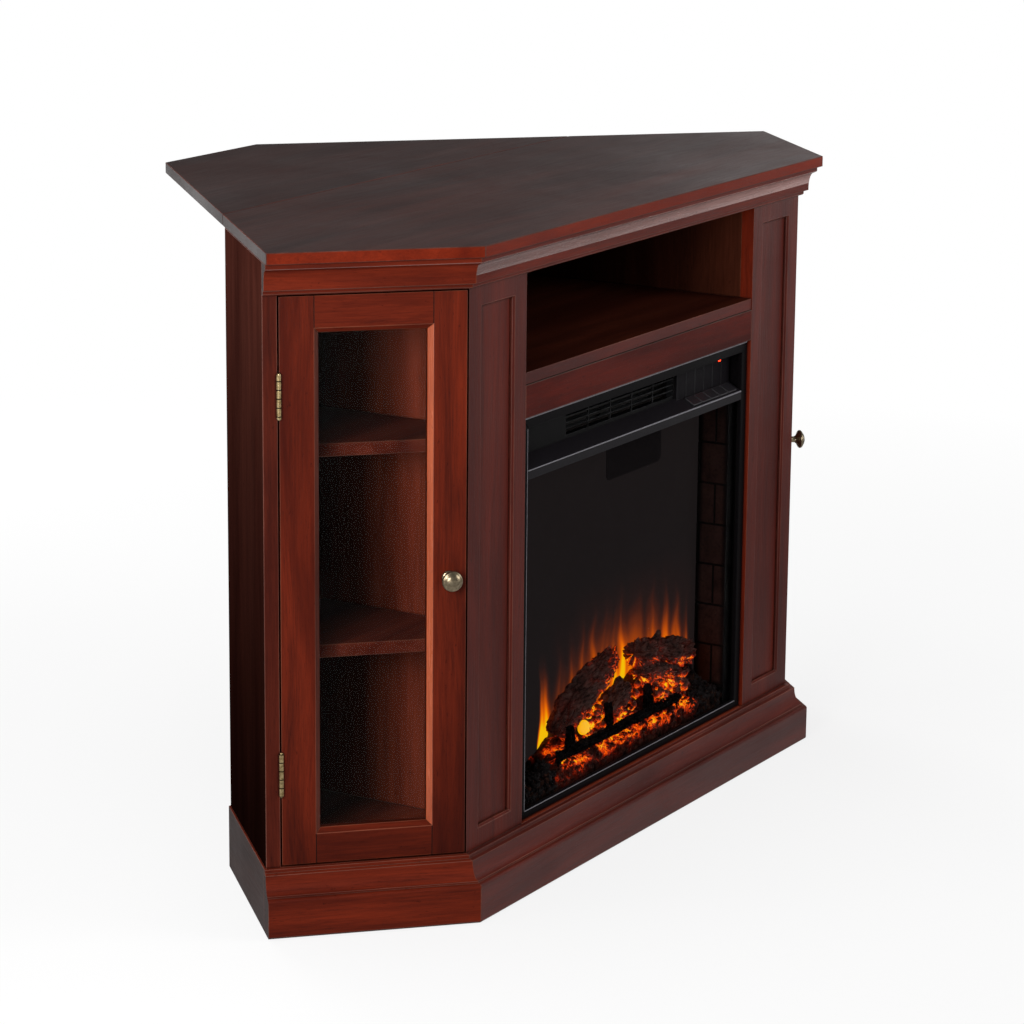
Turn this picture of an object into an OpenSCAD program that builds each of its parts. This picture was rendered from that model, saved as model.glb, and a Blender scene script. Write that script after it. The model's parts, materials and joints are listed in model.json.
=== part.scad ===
// Corner fireplace: a five-sided media cabinet with an electric fire insert,
// two glazed side doors and a drop leaf that fills the room corner.
// Millimetres. X to the right, Y to the back, Z up, origin on the floor
// at the middle of the whole outline. Angled parts are drawn once on the
// right-hand door face (local x along the face, y into the cabinet) and mirrored.

/* [Cabinet] */
// Width of the front face between the two 45 degree corners
front_w = 852; // [800:1:900]
// Width of each angled door face
door_face_w = 243; // [225:1:270]
// Depth of each side return, square to its door face
side_depth = 243; // [230:1:270]
// Height from the floor to the top surface
total_h = 819; // [790:1:860]
// Height of the plinth and of the deck that it hides
base_h = 79; // [70:1:90]
// How far the top board stands out over the front and door faces
top_overhang = 29; // [26:0.5:34]
// Depth of the drop leaf behind the seam
leaf_depth = 311.5; // [250:1:320]
// Distance from the cabinet back to the leaf's hinge line
seam_setback = 9.85; // [9:0.05:14]

/* [Boards] */
// Thickness of the top board and the leaf
top_t = 14; // [12:0.5:18]
// Thickness of pilasters, rails and partitions
board_t = 18; // [16:0.5:20]
// Thickness of the side panels
side_t = 17.5; // [15:0.5:20]
// Thickness of the deck under the whole cabinet
deck_t = 16; // [12:0.5:20]
// Thickness of the loose shelves
shelf_t = 16; // [12:0.5:20]
// Thickness of the back panels
back_t = 5; // [3:0.5:8]
// Height of the open strip above the back panels
back_drop = 5; // [3:1:12]
// Diameter of the cable hole in the niche back
cable_hole_d = 50; // [30:1:60]

/* [Front] */
// Width of each pilaster
pilaster_w = 131; // [115:1:145]
// Width of the pilaster frame beside its sunk panel
pilaster_stile = 27; // [22:1:34]
// Height of the pilaster frame above and below its sunk panel
pilaster_rail = 24; // [20:1:34]
// Depth of the sunk pilaster panel
pilaster_sink = 5.5; // [4:0.5:8]
// Bevel round the sunk pilaster panel
pilaster_bevel = 2.5; // [1.5:0.5:4]
// Thickness of the sunk pilaster panel
pilaster_panel_t = 6; // [4:0.5:8]
// Height of the firebox opening above the deck
firebox_h = 508.5; // [495:0.5:520]
// Height of the rail between the firebox and the niche
firebox_rail_h = 40.8; // [34:0.2:50]
// Thickness of the niche floor
niche_floor_t = 15; // [12:0.5:20]
// Set-back of the niche floor behind the rail
niche_setback = 1; // [0:0.5:4]

/* [Crown moulding] */
// Projection of the top fillet
crown_out = 22.5; // [20:0.5:26]
// Height of the top fillet
crown_fillet_h = 6.5; // [4:0.5:9]
// Projection at the top of the cove
crown_cove_out = 18; // [16:0.5:19]
// Height of the cove
crown_cove_h = 20; // [14:0.5:24]
// Projection at the foot of the cove
crown_neck_out = 12.2; // [10:0.2:14]
// Height of the flat under the cove
crown_neck_h = 3.5; // [2:0.5:6]
// Projection of the lowest bead
crown_bead_out = 6.5; // [4:0.5:8]
// Height of the lowest bead
crown_bead_h = 4; // [3:0.5:6]

/* [Plinth moulding] */
// Projection of the plinth foot
plinth_out = 29; // [27:0.5:34]
// Projection of the ledge under the doors
plinth_ledge_out = 6.3; // [5:0.1:8]
// Height of the ledge under the doors
plinth_ledge_h = 4.5; // [3:0.5:6]
// Projection at the top of the cove
plinth_neck_out = 12.2; // [10:0.2:14]
// Height of the cove
plinth_cove_h = 22.5; // [16:0.5:26]
// Projection at the foot of the cove
plinth_cove_out = 22.8; // [20:0.2:24]
// Radius of the rounded foot top
plinth_round = 4; // [2:0.5:4]
// Thickness of the plain skirt on the side returns
skirt_t = 3; // [2:0.5:5]

/* [Doors] */
// Gap round each door
door_gap = 2; // [1.6:0.1:3]
// Thickness of the door frame
door_t = 20; // [18:0.5:22]
// Width of the flat of a door stile
stile_w = 40; // [34:0.5:48]
// Height of the flat of the door's bottom rail
bottom_rail_h = 36.5; // [30:0.5:48]
// Height of the flat of the door's top rail
top_rail_h = 38; // [30:0.5:48]
// Width and depth of the bevel round the glass
sticking = 6; // [4:0.5:7]
// Depth of the glass behind the door face
glass_depth = 8; // [7.5:0.5:10]
// Thickness of the door glass
door_glass_t = 3; // [2.5:0.5:4]
// Lap of the door glass behind the bevel
glass_lap = 10; // [6:0.5:12]
// Height of the knob above the floor
knob_z = 422; // [380:1:460]
// Distance of the knob from the door's free edge
knob_inset = 21; // [17:0.5:26]
// Diameter of the knob
knob_d = 25; // [22:0.5:30]
// Projection of the knob
knob_out = 26; // [23:0.5:30]

/* [Door hinges] */
// Length of a hinge barrel
hinge_h = 52; // [40:1:60]
// Radius of a hinge barrel
hinge_r = 3; // [2.6:0.1:3]
// Radius of the hinge pin
hinge_pin_r = 1.2; // [0.9:0.1:1.4]
// Thickness of a hinge leaf
hinge_leaf_t = 0.9; // [0.6:0.1:0.9]
// Width of a hinge leaf inside the gap
hinge_leaf_w = 16; // [12:0.5:17]
// Height of the upper hinge's middle
hinge_top_z = 648; // [620:1:680]
// Height of the lower hinge's middle
hinge_low_z = 194; // [160:1:220]

/* [Shelves] */
// Set-back of the shelves behind the door face
shelf_setback = 70; // [55:1:90]
// Height of the upper shelf's top
shelf_upper_z = 574; // [540:1:600]
// Height of the lower shelf's top
shelf_lower_z = 329; // [290:1:360]
// Diameter of a shelf pin
pin_d = 5; // [4:0.5:6]
// Length of a shelf pin inside the cabinet
pin_out = 8; // [6:0.5:10]
// Depth of a shelf pin's hole
pin_in = 9; // [6:0.5:11]

/* [Leaf hinges and stays] */
// Length of a leaf hinge
leaf_hinge_w = 50; // [40:1:60]
// Reach of a leaf hinge plate from the hinge line
leaf_plate = 25; // [20:1:28]
// Thickness of a leaf hinge plate
leaf_plate_t = 1.5; // [1:0.1:1.5]
// Spacing of the leaf hinges
leaf_hinge_pitch = 200; // [150:1:240]
// Length of a stay arm between its pivots
stay_len = 170; // [150:1:175]
// Distance of the stay pivot behind the hinge line
stay_reach = 80; // [75:1:85]
// Depth of the stay pivot below the hinge line
stay_drop = 4; // [4:0.1:4.6]
// Width of a stay arm
stay_w = 8; // [7:0.5:8]
// Thickness of a stay arm
stay_t = 3; // [2.5:0.5:4]
// Sheet thickness of the stay channels
channel_t = 1.45; // [1:0.05:1.45]

/* [Fire insert] */
// Set-back of the insert's frame behind the front face
insert_setback = 5; // [3:0.5:8]
// Gap round the insert's frame
insert_gap = 1.5; // [1:0.5:3]
// Width of the frame's bars at the sides and the top
frame_bar = 13.5; // [11:0.5:16]
// Width of the frame's bottom bar
frame_bottom = 10; // [8:0.5:14]
// Depth of the frame's bars
frame_t = 6; // [5:0.5:8]
// Depth of the insert's casing
casing_depth = 146; // [130:1:170]
// Sheet thickness of the casing
sheet_t = 1.5; // [1:0.1:2]
// Height of the controls' band, from the frame top to the hood's lower edge
band_h = 77.5; // [74:0.5:84]
// Height of the hood's front lip
lip_h = 12; // [11:0.5:15]
// Angle of the hood's slope
slope_angle = 28.7; // [26:0.1:31]
// Depth of the hood
hood_run = 23; // [22.5:0.5:25]
// Thickness of the hood
hood_t = 3; // [2.5:0.5:3.5]
// Thickness of the insert's front glass
front_glass_t = 4; // [3:0.5:5]
// Width of the control panel
panel_w = 147; // [140:1:160]
// Width of one button
button_w = 22.6; // [20:0.1:23]
// Spacing of the buttons
button_pitch = 24.4; // [24.2:0.1:26]
// Length of a button along the slope
button_l = 16; // [14:0.5:17]
// Height of a button above the slope
button_h = 2.2; // [1.5:0.1:2.5]
// Running gap round a button
button_gap = 0.3; // [0.2:0.05:0.4]
// Depth of the fire bed, from its front to the flame screen
fire_depth = 45; // [42:0.5:50]
// Thickness of the brick-pattern side walls
brick_t = 20.5; // [16:0.5:26]
// Height of one brick course
course_h = 56; // [48:1:64]
// Width of a joint between bricks
joint_w = 2.4; // [1.5:0.1:3]
// Depth of a joint between bricks
joint_depth = 1.6; // [1:0.1:2.5]
// Length of the air outlet
outlet_w = 280; // [240:1:283]
// Radius of the blower wheel
wheel_r = 22; // [19:0.5:22]
// Number of blades on the blower wheel
blades = 20; // [12:1:24]
// Radius of the flicker rod's shaft
rod_r = 3; // [2:0.5:4]

/* [Hidden] */
$fn = 48;

// Small fits, all named once
flat_gap = 0.5;      // loose board beside a fixed one
turn_gap = 0.3;      // between turning metal parts
bore_gap = 0.05;     // pin in its bore
seam_gap = 0.5;      // each side of the seam between top and leaf
hairline = 0.05;     // joint line between fitted boards
eps = 1;             // how far a cut runs past a face

// The 45 degree plan
s45 = sqrt(0.5);
bisect = tan(22.5);
front_half = front_w / 2;
body_back = s45 * (door_face_w + side_depth);
back_inner = body_back - back_t;
seam_y = body_back + seam_setback;
leaf_back = seam_y + leaf_depth + seam_gap;
front_y = -(leaf_back - top_overhang) / 2;
inner_w = door_face_w - side_t;

// Heights
board_z = total_h - top_t;
crown_round = 2.5;
crown_step = 1;
crown_foot = 2;
crown_h = crown_fillet_h + crown_round + crown_cove_h + crown_neck_h
  + crown_step + crown_bead_h + crown_foot;
crown_z = board_z - crown_h;
firebox_z = base_h + firebox_h;
niche_z = firebox_z + firebox_rail_h + niche_floor_t;
opening_half = front_half - pilaster_w;
partition_out = opening_half + board_t;

// Insert
casing_side = 3.5;   // frame's edge beyond the casing at each side
casing_head = 6;     // frame's edge above the casing
glass_lap_up = 3;    // front glass behind the hood
fire_gap = 2;        // front glass to the fire bed
plate_t = 2;
screen_t = 4;
grille_side = 3;     // blank plate between the outlet and the controls
grille_foot = 4;     // blank plate under the outlet
grille_head = 11.5;  // blank plate over the outlet
wheel_back = 50;     // blower axis behind the plate
rod_back = 29;       // flicker rod behind the flame screen
rod_rise = 71;       // flicker rod above the deck
ins_y = insert_setback;
ins_half = opening_half - insert_gap;
ins_z0 = base_h + insert_gap;
ins_z1 = firebox_z - insert_gap;
frame_inner = ins_half - frame_bar;
frame_back = ins_y + frame_t;
casing_half = ins_half - casing_side;
casing_z1 = ins_z1 - casing_head;
casing_back = frame_back + casing_depth;
cavity_half = casing_half - sheet_t;
cavity_z0 = base_h + sheet_t;
cavity_z1 = casing_z1 - sheet_t;
cavity_back = casing_back - sheet_t;
hood_z = ins_z1 - band_h;
lip_z = hood_z + lip_h;
plate_y = ins_y + hood_run;
plate_z = lip_z + hood_run * tan(slope_angle);
glass_back = frame_back + front_glass_t;
baffle_z = hood_z - flat_gap;
glass_top = hood_z + glass_lap_up;
fire_y = glass_back + fire_gap;
screen_y = fire_y + fire_depth;
brick_half = cavity_half - brick_t;
panel_x = frame_inner - panel_w;
outlet_x1 = panel_x - grille_side;
outlet_x0 = outlet_x1 - outlet_w;
outlet_z0 = plate_z + grille_foot;
outlet_z1 = cavity_z1 - grille_head;
wheel_y = plate_y + wheel_back;
wheel_z = (baffle_z + sheet_t + cavity_z1) / 2;
rod_y = screen_y + screen_t + rod_back;
rod_z = base_h + rod_rise;

// ---------- helpers ----------

// Plan point on the left door face: u along the face, d into the cabinet
function left_at(u, d) = [-front_half - s45 * (u - d), s45 * (u + d)];
// Left half of the body's outline: e stands out, the side line is at u = w, the back at y = yb
function outline_left(e, w, yb) =
  [[-front_half - bisect * e, -e], left_at(w, -e), left_at(w, yb / s45 - w)];
function outline(e, w, yb) =
  let (p = outline_left(e, w, yb)) concat(p, [for (i = [2:-1:0]) [-p[i][0], p[i][1]]]);
// Points of an elliptical arc
function arc(cx, cy, rx, ry, a0, a1, n = 10) =
  [for (i = [0:n]) let (a = a0 + (a1 - a0) * i / n) [cx + rx * cos(a), cy + ry * sin(a)]];

module block(a, b) translate(a) cube(b - a);
// Prism along X whose outline is given in Y and Z
module bar_x(x0, x1) translate([x0, 0, 0]) rotate([90, 0, 90]) linear_extrude(x1 - x0) children();
// Prism along Y whose outline is given in X and Z
module wall_y(y0, y1) translate([0, y1, 0]) rotate([90, 0, 0]) linear_extrude(y1 - y0) children();
module slab(z0, z1) translate([0, 0, z0]) linear_extrude(z1 - z0) children();
module rod_x(x0, x1, r) translate([x0, 0, 0]) rotate([0, 90, 0]) cylinder(h = x1 - x0, r = r);
module at_front() translate([0, front_y, 0]) children();
module right_face() translate([front_half, 0, 0]) rotate([0, 0, 45]) children();
module left_side() mirror([1, 0, 0]) children();
module both_sides() { children(); left_side() children(); }

// An opening with bevelled edges: it has its full size at the face and shrinks by b over the depth b
module bevelled_hole(x0, x1, z0, z1, b, t) {
  plan_pts = [[x0, -eps], [x0, 0], [x0 + b, b], [x0 + b, t + eps],
              [x1 - b, t + eps], [x1 - b, b], [x1, 0], [x1, -eps]];
  side_pts = [[-eps, z0], [0, z0], [b, z0 + b], [t + eps, z0 + b],
              [t + eps, z1 - b], [b, z1 - b], [0, z1], [-eps, z1]];
  intersection() {
    slab(z0, z1) polygon(plan_pts);
    bar_x(x0, x1) polygon(side_pts);
  }
}

// ---------- mouldings ----------

crown_profile = let (
    z1 = board_z - crown_fillet_h,
    z2 = z1 - crown_round,
    z3 = z2 - crown_cove_h,
    z4 = z3 - crown_neck_h,
    z5 = z4 - crown_step,
    z6 = z5 - crown_bead_h)
  concat([[0, crown_z], [0, board_z], [crown_out, board_z], [crown_out, z1]],
    [[crown_out - crown_round, z1 - crown_round * 0.6]],
    arc(crown_cove_out, z3, crown_cove_out - crown_neck_out, crown_cove_h, 90, 180),
    [[crown_neck_out, z4], [crown_bead_out, z5], [crown_bead_out, z6]],
    [[crown_bead_out - 1.5, crown_z + 0.5]]);

plinth_profile = let (
    z1 = base_h - plinth_ledge_h,
    z2 = z1 - 1,
    z3 = z2 - plinth_cove_h,
    z4 = z3 - 2.5)
  concat([[0, 0], [0, base_h], [plinth_ledge_out, base_h], [plinth_ledge_out, z1]],
    arc(plinth_cove_out, z2, plinth_cove_out - plinth_neck_out, plinth_cove_h, 180, 270),
    [[plinth_cove_out, z4]],
    arc(plinth_out - plinth_round, z4 - plinth_round, plinth_round, plinth_round, 90, 0, 5),
    [[plinth_out, 2], [plinth_out - 2, 0]]);

mitre_reach = 40;
// One length of moulding along X, cut at each end by its mitre line: m is 1 for a mitre, 0 for a square end
module moulding(profile, x0, x1, m0, m1) intersection() {
  slope0 = m0 * bisect;
  slope1 = m1 * bisect;
  a = x0 + m0 * hairline;
  b = x1 - m1 * hairline;
  bar_x(x0 - mitre_reach, x1 + mitre_reach) polygon([for (p = profile) [-p[0], p[1]]]);
  slab(-eps, total_h) polygon([
    [a + slope0 * eps, eps], [a - slope0 * mitre_reach, -mitre_reach],
    [b + slope1 * mitre_reach, -mitre_reach], [b - slope1 * eps, eps]]);
}
module front_moulding(profile) moulding(profile, -front_half, front_half, 1, 1);
module door_moulding(profile, end) right_face() moulding(profile, 0, end, 1, 0);

module crown_moulding() color("#6b2a1c") at_front() {
  front_moulding(crown_profile);
  both_sides() door_moulding(crown_profile, door_face_w);
}

module plinth_moulding() color("#6b2a1c") at_front() {
  front_moulding(plinth_profile);
  both_sides() {
    door_moulding(plinth_profile, door_face_w + skirt_t);
    side_skirt();
  }
  rear_rail(0, base_h - deck_t);
}

module side_skirt() right_face() {
  out = door_face_w + skirt_t;
  slab(0, base_h) polygon([
    [door_face_w, hairline], [out, hairline], [out, body_back / s45 - out], [door_face_w, side_depth]]);
}

// Rail between the side panels, just inside the back
module rear_rail(z0, z1) {
  left = [for (y = [back_inner - board_t, back_inner]) left_at(inner_w, y / s45 - inner_w)];
  slab(z0, z1) polygon([left[0], left[1], [-left[1][0], left[1][1]], [-left[0][0], left[0][1]]]);
}

// ---------- carcase ----------

module top_board() color("#5c3226") at_front()
  slab(board_z, total_h) polygon(outline(top_overhang, door_face_w, seam_y - seam_gap));

module head_rails() color("#54281c") at_front() {
  front_end = front_half - hairline;
  slab(crown_z, board_z) polygon([
    [-front_end, 0], [front_end, 0],
    [front_end - bisect * board_t, board_t], [-front_end + bisect * board_t, board_t]]);
  both_sides() right_face() slab(crown_z, board_z) polygon([
    [hairline, 0], [inner_w, 0], [inner_w, board_t], [hairline + bisect * board_t, board_t]]);
  difference() {
    rear_rail(crown_z, board_z);
    for (x = leaf_hinge_xs) block(
      [x - leaf_hinge_w / 2 - flat_gap, seam_y - leaf_plate - flat_gap, board_z - leaf_plate_t - 0.3],
      [x + leaf_hinge_w / 2 + flat_gap, seam_y, board_z + eps]);
  }
}

module side_panel() right_face() difference() {
  slab(0, board_z) polygon([
    [inner_w, 0], [door_face_w, 0], [door_face_w, side_depth],
    [inner_w, body_back / s45 - inner_w]]);
  for (z = shelf_zs) for (y = side_pin_ys) translate([inner_w, y, z - shelf_t - pin_d / 2])
    rod_x(-eps, pin_in, pin_d / 2 + bore_gap);
}
module side_panel_left() color("#5a2b1e") at_front() left_side() side_panel();
module side_panel_right() color("#5a2b1e") at_front() side_panel();

rebate_gap = 0.25;
pilaster_tongue = 5;
// Pilaster: a frame round a sunk panel; its outer end is square to the door face
module pilaster() {
  x0 = opening_half + pilaster_stile;
  x1 = front_half - pilaster_stile;
  z0 = base_h + pilaster_rail;
  z1 = crown_z - pilaster_rail;
  b = pilaster_bevel;
  reach = pilaster_tongue + rebate_gap;
  difference() {
    slab(base_h, crown_z) polygon([
      [opening_half, 0], [front_half, 0], [front_half - board_t, board_t], [opening_half, board_t]]);
    bevelled_hole(x0, x1, z0, z1, b, board_t);
    block([x0 + b - reach, pilaster_sink, z0 + b - reach],
          [x1 - b + reach, board_t + eps, z1 - b + reach]);
  }
  panel_y = pilaster_sink + hairline;
  block([x0 + b - pilaster_tongue, panel_y, z0 + b - pilaster_tongue],
        [x1 - b + pilaster_tongue, panel_y + pilaster_panel_t, z1 - b + pilaster_tongue]);
}
module pilaster_left() color("#66291b") at_front() left_side() pilaster();
module pilaster_right() color("#66291b") at_front() pilaster();

module partition() difference() {
  block([opening_half, board_t, base_h], [partition_out, body_back, board_z]);
  block([opening_half - eps, back_inner - board_t, crown_z],
        [partition_out + eps, back_inner, board_z + eps]);
  for (z = shelf_zs) for (y = partition_pin_ys) translate([partition_out, y, z - shelf_t - pin_d / 2])
    rod_x(-pin_in, eps, pin_d / 2 + bore_gap);
}
module partition_left() color("#5a2b1e") at_front() left_side() partition();
module partition_right() color("#5a2b1e") at_front() partition();

back_top = board_z - back_drop;
module back_panels() color("#4a2a20") at_front() {
  both_sides() slab(base_h, back_top) mirror([1, 0, 0]) polygon([
    left_at(inner_w, back_inner / s45 - inner_w), left_at(inner_w, body_back / s45 - inner_w),
    [-partition_out, body_back], [-partition_out, back_inner]]);
  difference() {
    block([-opening_half, back_inner, niche_z - niche_floor_t], [opening_half, body_back, back_top]);
    translate([0, back_inner - eps, (niche_z + crown_z) / 2]) rotate([-90, 0, 0])
      cylinder(h = back_t + 2 * eps, d = cable_hole_d);
  }
}

module niche_floor() color("#5a2b1e") at_front()
  block([-opening_half, niche_setback, niche_z - niche_floor_t], [opening_half, back_inner, niche_z]);

module firebox_rail() color("#66291b") at_front()
  block([-opening_half, 0, firebox_z], [opening_half, board_t, firebox_z + firebox_rail_h]);

module bottom_deck() color("#4f281d") at_front()
  slab(base_h - deck_t, base_h) polygon(outline(0, inner_w, back_inner));

// ---------- shelves ----------

shelf_zs = [shelf_lower_z, shelf_upper_z];
pin_front = 25;   // first side pin behind the shelf's front edge
pin_back = 35;    // last side pin before the shelf's back edge
pin_shift = 40;   // the partition's front pins sit this much nearer to the front
side_pin_ys = [shelf_setback + pin_front, back_inner / s45 - inner_w - pin_back];
partition_pin_ys = [shelf_setback + pin_front - pin_shift, back_inner - pin_back - 10];

module shelf(z) {
  g = flat_gap;
  y_front = board_t + g;
  slab(z - shelf_t, z) mirror([1, 0, 0]) polygon([
    left_at(inner_w - g, shelf_setback), left_at(inner_w - g, (back_inner - g) / s45 - inner_w + g),
    [-partition_out - g, back_inner - g], [-partition_out - g, y_front],
    left_at(y_front / s45 - shelf_setback, shelf_setback)]);
}
module shelves_left() color("#5a2b1e") at_front() left_side() for (z = shelf_zs) shelf(z);
module shelves_right() color("#5a2b1e") at_front() for (z = shelf_zs) shelf(z);

module shelf_pins() color("#b9a16a") at_front() both_sides() for (z = shelf_zs) {
  for (y = side_pin_ys) right_face() translate([inner_w, y, z - shelf_t - pin_d / 2])
    rod_x(-pin_out, pin_in, pin_d / 2);
  for (y = partition_pin_ys) translate([partition_out, y, z - shelf_t - pin_d / 2])
    rod_x(-pin_in, pin_out, pin_d / 2);
}

// ---------- doors (local frame of the right door face) ----------

hinge_stile_more = 1;   // the hinge stile is this much wider than the other
door_u0 = door_gap;
door_u1 = inner_w - door_gap;
door_z0 = base_h + door_gap;
door_z1 = crown_z - door_gap;
open_u0 = door_u0 + stile_w;
open_u1 = door_u1 - stile_w - hinge_stile_more;
open_z0 = door_z0 + bottom_rail_h;
open_z1 = door_z1 - top_rail_h;
glass_u0 = open_u0 + sticking - glass_lap;
glass_u1 = open_u1 - sticking + glass_lap;
glass_z0 = open_z0 + sticking - glass_lap;
glass_z1 = open_z1 - sticking + glass_lap;

module door_blank() difference() {
  block([door_u0, 0, door_z0], [door_u1, door_t, door_z1]);
  bevelled_hole(open_u0, open_u1, open_z0, open_z1, sticking, door_t);
  block([glass_u0 - rebate_gap, glass_depth, glass_z0 - rebate_gap],
        [glass_u1 + rebate_gap, door_t + eps, glass_z1 + rebate_gap]);
}

// Outline of one stile with its mitred bevel: e is the outer edge, m the joint line, i the inner edge
function stile_pts(e, m, i) = [
  [e, door_z0], [m, door_z0], [m, open_z0], [i, open_z0 + sticking],
  [i, open_z1 - sticking], [m, open_z1], [m, door_z1], [e, door_z1]];
function rail_pts(e, m, i) = [
  [open_u0, e], [open_u1, e], [open_u1, m], [open_u1 - sticking, i],
  [open_u0 + sticking, i], [open_u0, m]];

module door_stiles() {
  for (p = [stile_pts(door_u0, open_u0, open_u0 + sticking),
            stile_pts(door_u1, open_u1, open_u1 - sticking)])
    intersection() {
      door_blank();
      wall_y(-eps, door_t + eps) polygon(p);
    }
}
module door_rails() {
  for (p = [rail_pts(door_z0, open_z0, open_z0 + sticking),
            rail_pts(door_z1, open_z1, open_z1 - sticking)])
    intersection() {
      door_blank();
      wall_y(-eps, door_t + eps) polygon(p);
    }
}
module door_glass()
  block([glass_u0, glass_depth, glass_z0], [glass_u1, glass_depth + door_glass_t, glass_z1]);

stop_w = 9;
module door_stops() {
  y0 = glass_depth + door_glass_t;
  y1 = door_t - 1;
  for (z = [glass_z0, glass_z1 - stop_w])
    block([glass_u0, y0, z], [glass_u1, y1, z + stop_w]);
  for (u = [glass_u0, glass_u1 - stop_w])
    block([u, y0, glass_z0 + stop_w + hairline], [u + stop_w, y1, glass_z1 - stop_w - hairline]);
}

module door_knob() {
  r = knob_d / 2;
  dome_r = 1.44 * r;
  dome_edge = knob_out - dome_r + sqrt(pow(dome_r, 2) - pow(r, 2));
  neck_top = dome_edge - 11;
  translate([door_u0 + knob_inset, 0, knob_z]) rotate([90, 0, 0]) {
    cylinder(h = 2, r = 0.62 * r);
    cylinder(h = neck_top, r1 = 0.45 * r, r2 = 0.34 * r);
    translate([0, 0, neck_top]) cylinder(h = 5.5, r1 = 0.34 * r, r2 = 0.8 * r);
    translate([0, 0, neck_top + 5.5]) cylinder(h = 1.5, r1 = 0.8 * r, r2 = r);
    intersection() {
      translate([0, 0, neck_top + 7]) cylinder(h = knob_out, r = r);
      translate([0, 0, knob_out - dome_r]) sphere(r = dome_r);
    }
  }
}

// Hinge line in the gap, just proud of the door face
hinge_u = door_u1 + door_gap / 2;
hinge_y = -hinge_r - 0.2;
hinge_zs = [hinge_low_z, hinge_top_z];
knuckle = (hinge_h - 2 * turn_gap) / 3;
leaf_y0 = hinge_y + hinge_r + turn_gap;

// Fixed half: leaf on the side panel, outer knuckles, pin
module fixed_hinge() {
  low = -hinge_h / 2;
  for (z = [low, hinge_h / 2 - knuckle]) {
    translate([hinge_u, hinge_y, z]) cylinder(h = knuckle, r = hinge_r);
    block([inner_w - hinge_leaf_t, hinge_y, z], [inner_w, leaf_y0, z + knuckle]);
  }
  block([inner_w - hinge_leaf_t, leaf_y0, low], [inner_w, hinge_leaf_w, -low]);
  translate([hinge_u, hinge_y, low]) cylinder(h = hinge_h, r = hinge_pin_r);
  for (z = [low, -low]) translate([hinge_u, hinge_y, z]) sphere(r = hinge_r * 0.75);
}
// Moving half: leaf on the door edge, middle knuckle with its bore
module moving_hinge() {
  half = hinge_h / 2;
  mid = knuckle / 2;
  difference() {
    union() {
      translate([hinge_u, hinge_y, -mid]) cylinder(h = 2 * mid, r = hinge_r);
      block([door_u1, hinge_y, -mid], [door_u1 + hinge_leaf_t, leaf_y0, mid]);
    }
    translate([hinge_u, hinge_y, -mid - eps]) cylinder(h = 2 * mid + 2 * eps, r = hinge_pin_r + bore_gap);
  }
  block([door_u1, leaf_y0, -half], [door_u1 + hinge_leaf_t, hinge_leaf_w, half]);
}

module door_hinge_plates() color("#a8925c") at_front() both_sides() right_face()
  for (z = hinge_zs) translate([0, 0, z]) fixed_hinge();

catch_u0 = door_u0 + 18;
catch_w = 40;
strike_t = 1.2;
// Magnetic catch on the back of the head rail, and its magnet behind the door
module door_catches() color("#8f8a80") at_front() both_sides() right_face() {
  magnet_y = door_t + strike_t + turn_gap;
  magnet_back = magnet_y + 14.5;
  block([catch_u0, board_t, crown_z], [catch_u0 + catch_w, magnet_back, crown_z + 19]);
  block([catch_u0, magnet_y, crown_z - 21], [catch_u0 + catch_w, magnet_back, crown_z]);
}

module door_fittings() {
  for (z = hinge_zs) translate([0, 0, z]) moving_hinge();
  block([catch_u0 + 5, door_t, crown_z - 19], [catch_u0 + catch_w - 5, door_t + strike_t, door_z1 - 2]);
}

module on_right_door() at_front() right_face() children();
module on_left_door() at_front() left_side() right_face() children();

module right_door_stiles() color("#9b3f22") on_right_door() door_stiles();
module right_door_rails() color("#a04425") on_right_door() door_rails();
module right_door_glass() color("#2a2f2c", 0.4) on_right_door() door_glass();
module right_door_stops() color("#7a3320") on_right_door() door_stops();
module right_door_knob() color("#b8ab8c") on_right_door() door_knob();
module right_door_fittings() color("#a8925c") on_right_door() door_fittings();
module left_door_stiles() color("#9b3f22") on_left_door() door_stiles();
module left_door_rails() color("#a04425") on_left_door() door_rails();
module left_door_glass() color("#2a2f2c", 0.4) on_left_door() door_glass();
module left_door_stops() color("#7a3320") on_left_door() door_stops();
module left_door_knob() color("#b8ab8c") on_left_door() door_knob();
module left_door_fittings() color("#a8925c") on_left_door() door_fittings();

// ---------- drop leaf, its hinges and its folding stays ----------

leaf_hinge_xs = [-leaf_hinge_pitch, 0, leaf_hinge_pitch];
leaf_axis_z = board_z - hinge_r;
leaf_knuckle = (leaf_hinge_w - 2 * turn_gap) / 3;
stay_x = opening_half + board_t / 2 - 1;   // 1 mm nearer to the middle than the partition's centre
stay_y = seam_y + stay_reach;
stay_z = leaf_axis_z - stay_drop;
foot_y = seam_y - stay_drop;
stay_lean = asin((stay_y - foot_y) / stay_len);
stay_pin_r = 2;
foot_half = 3.5;

module rear_leaf() color("#5c3226") at_front() {
  y0 = seam_y + seam_gap;
  left = [for (y = [y0, leaf_back]) left_at(door_face_w, y / s45 - door_face_w)];
  slab(board_z, total_h)
    polygon([left[0], left[1], [-left[1][0], left[1][1]], [-left[0][0], left[0][1]]]);
}

// Plate of a leaf hinge, reaching back (side = 1) or forward (side = -1) from the hinge line
module hinge_plate(side, xs) {
  clear = hinge_r + turn_gap;
  far = side * leaf_plate;
  z0 = board_z - leaf_plate_t;
  module strip(x0, x1, a, b) block([x0, seam_y + min(a, b), z0], [x1, seam_y + max(a, b), board_z]);
  strip(-leaf_hinge_w / 2, leaf_hinge_w / 2, side * clear, far);
  for (x = xs) {
    strip(x[0], x[1], 0, side * clear);
    translate([0, seam_y, leaf_axis_z]) rod_x(x[0], x[1], hinge_r);
  }
}

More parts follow.
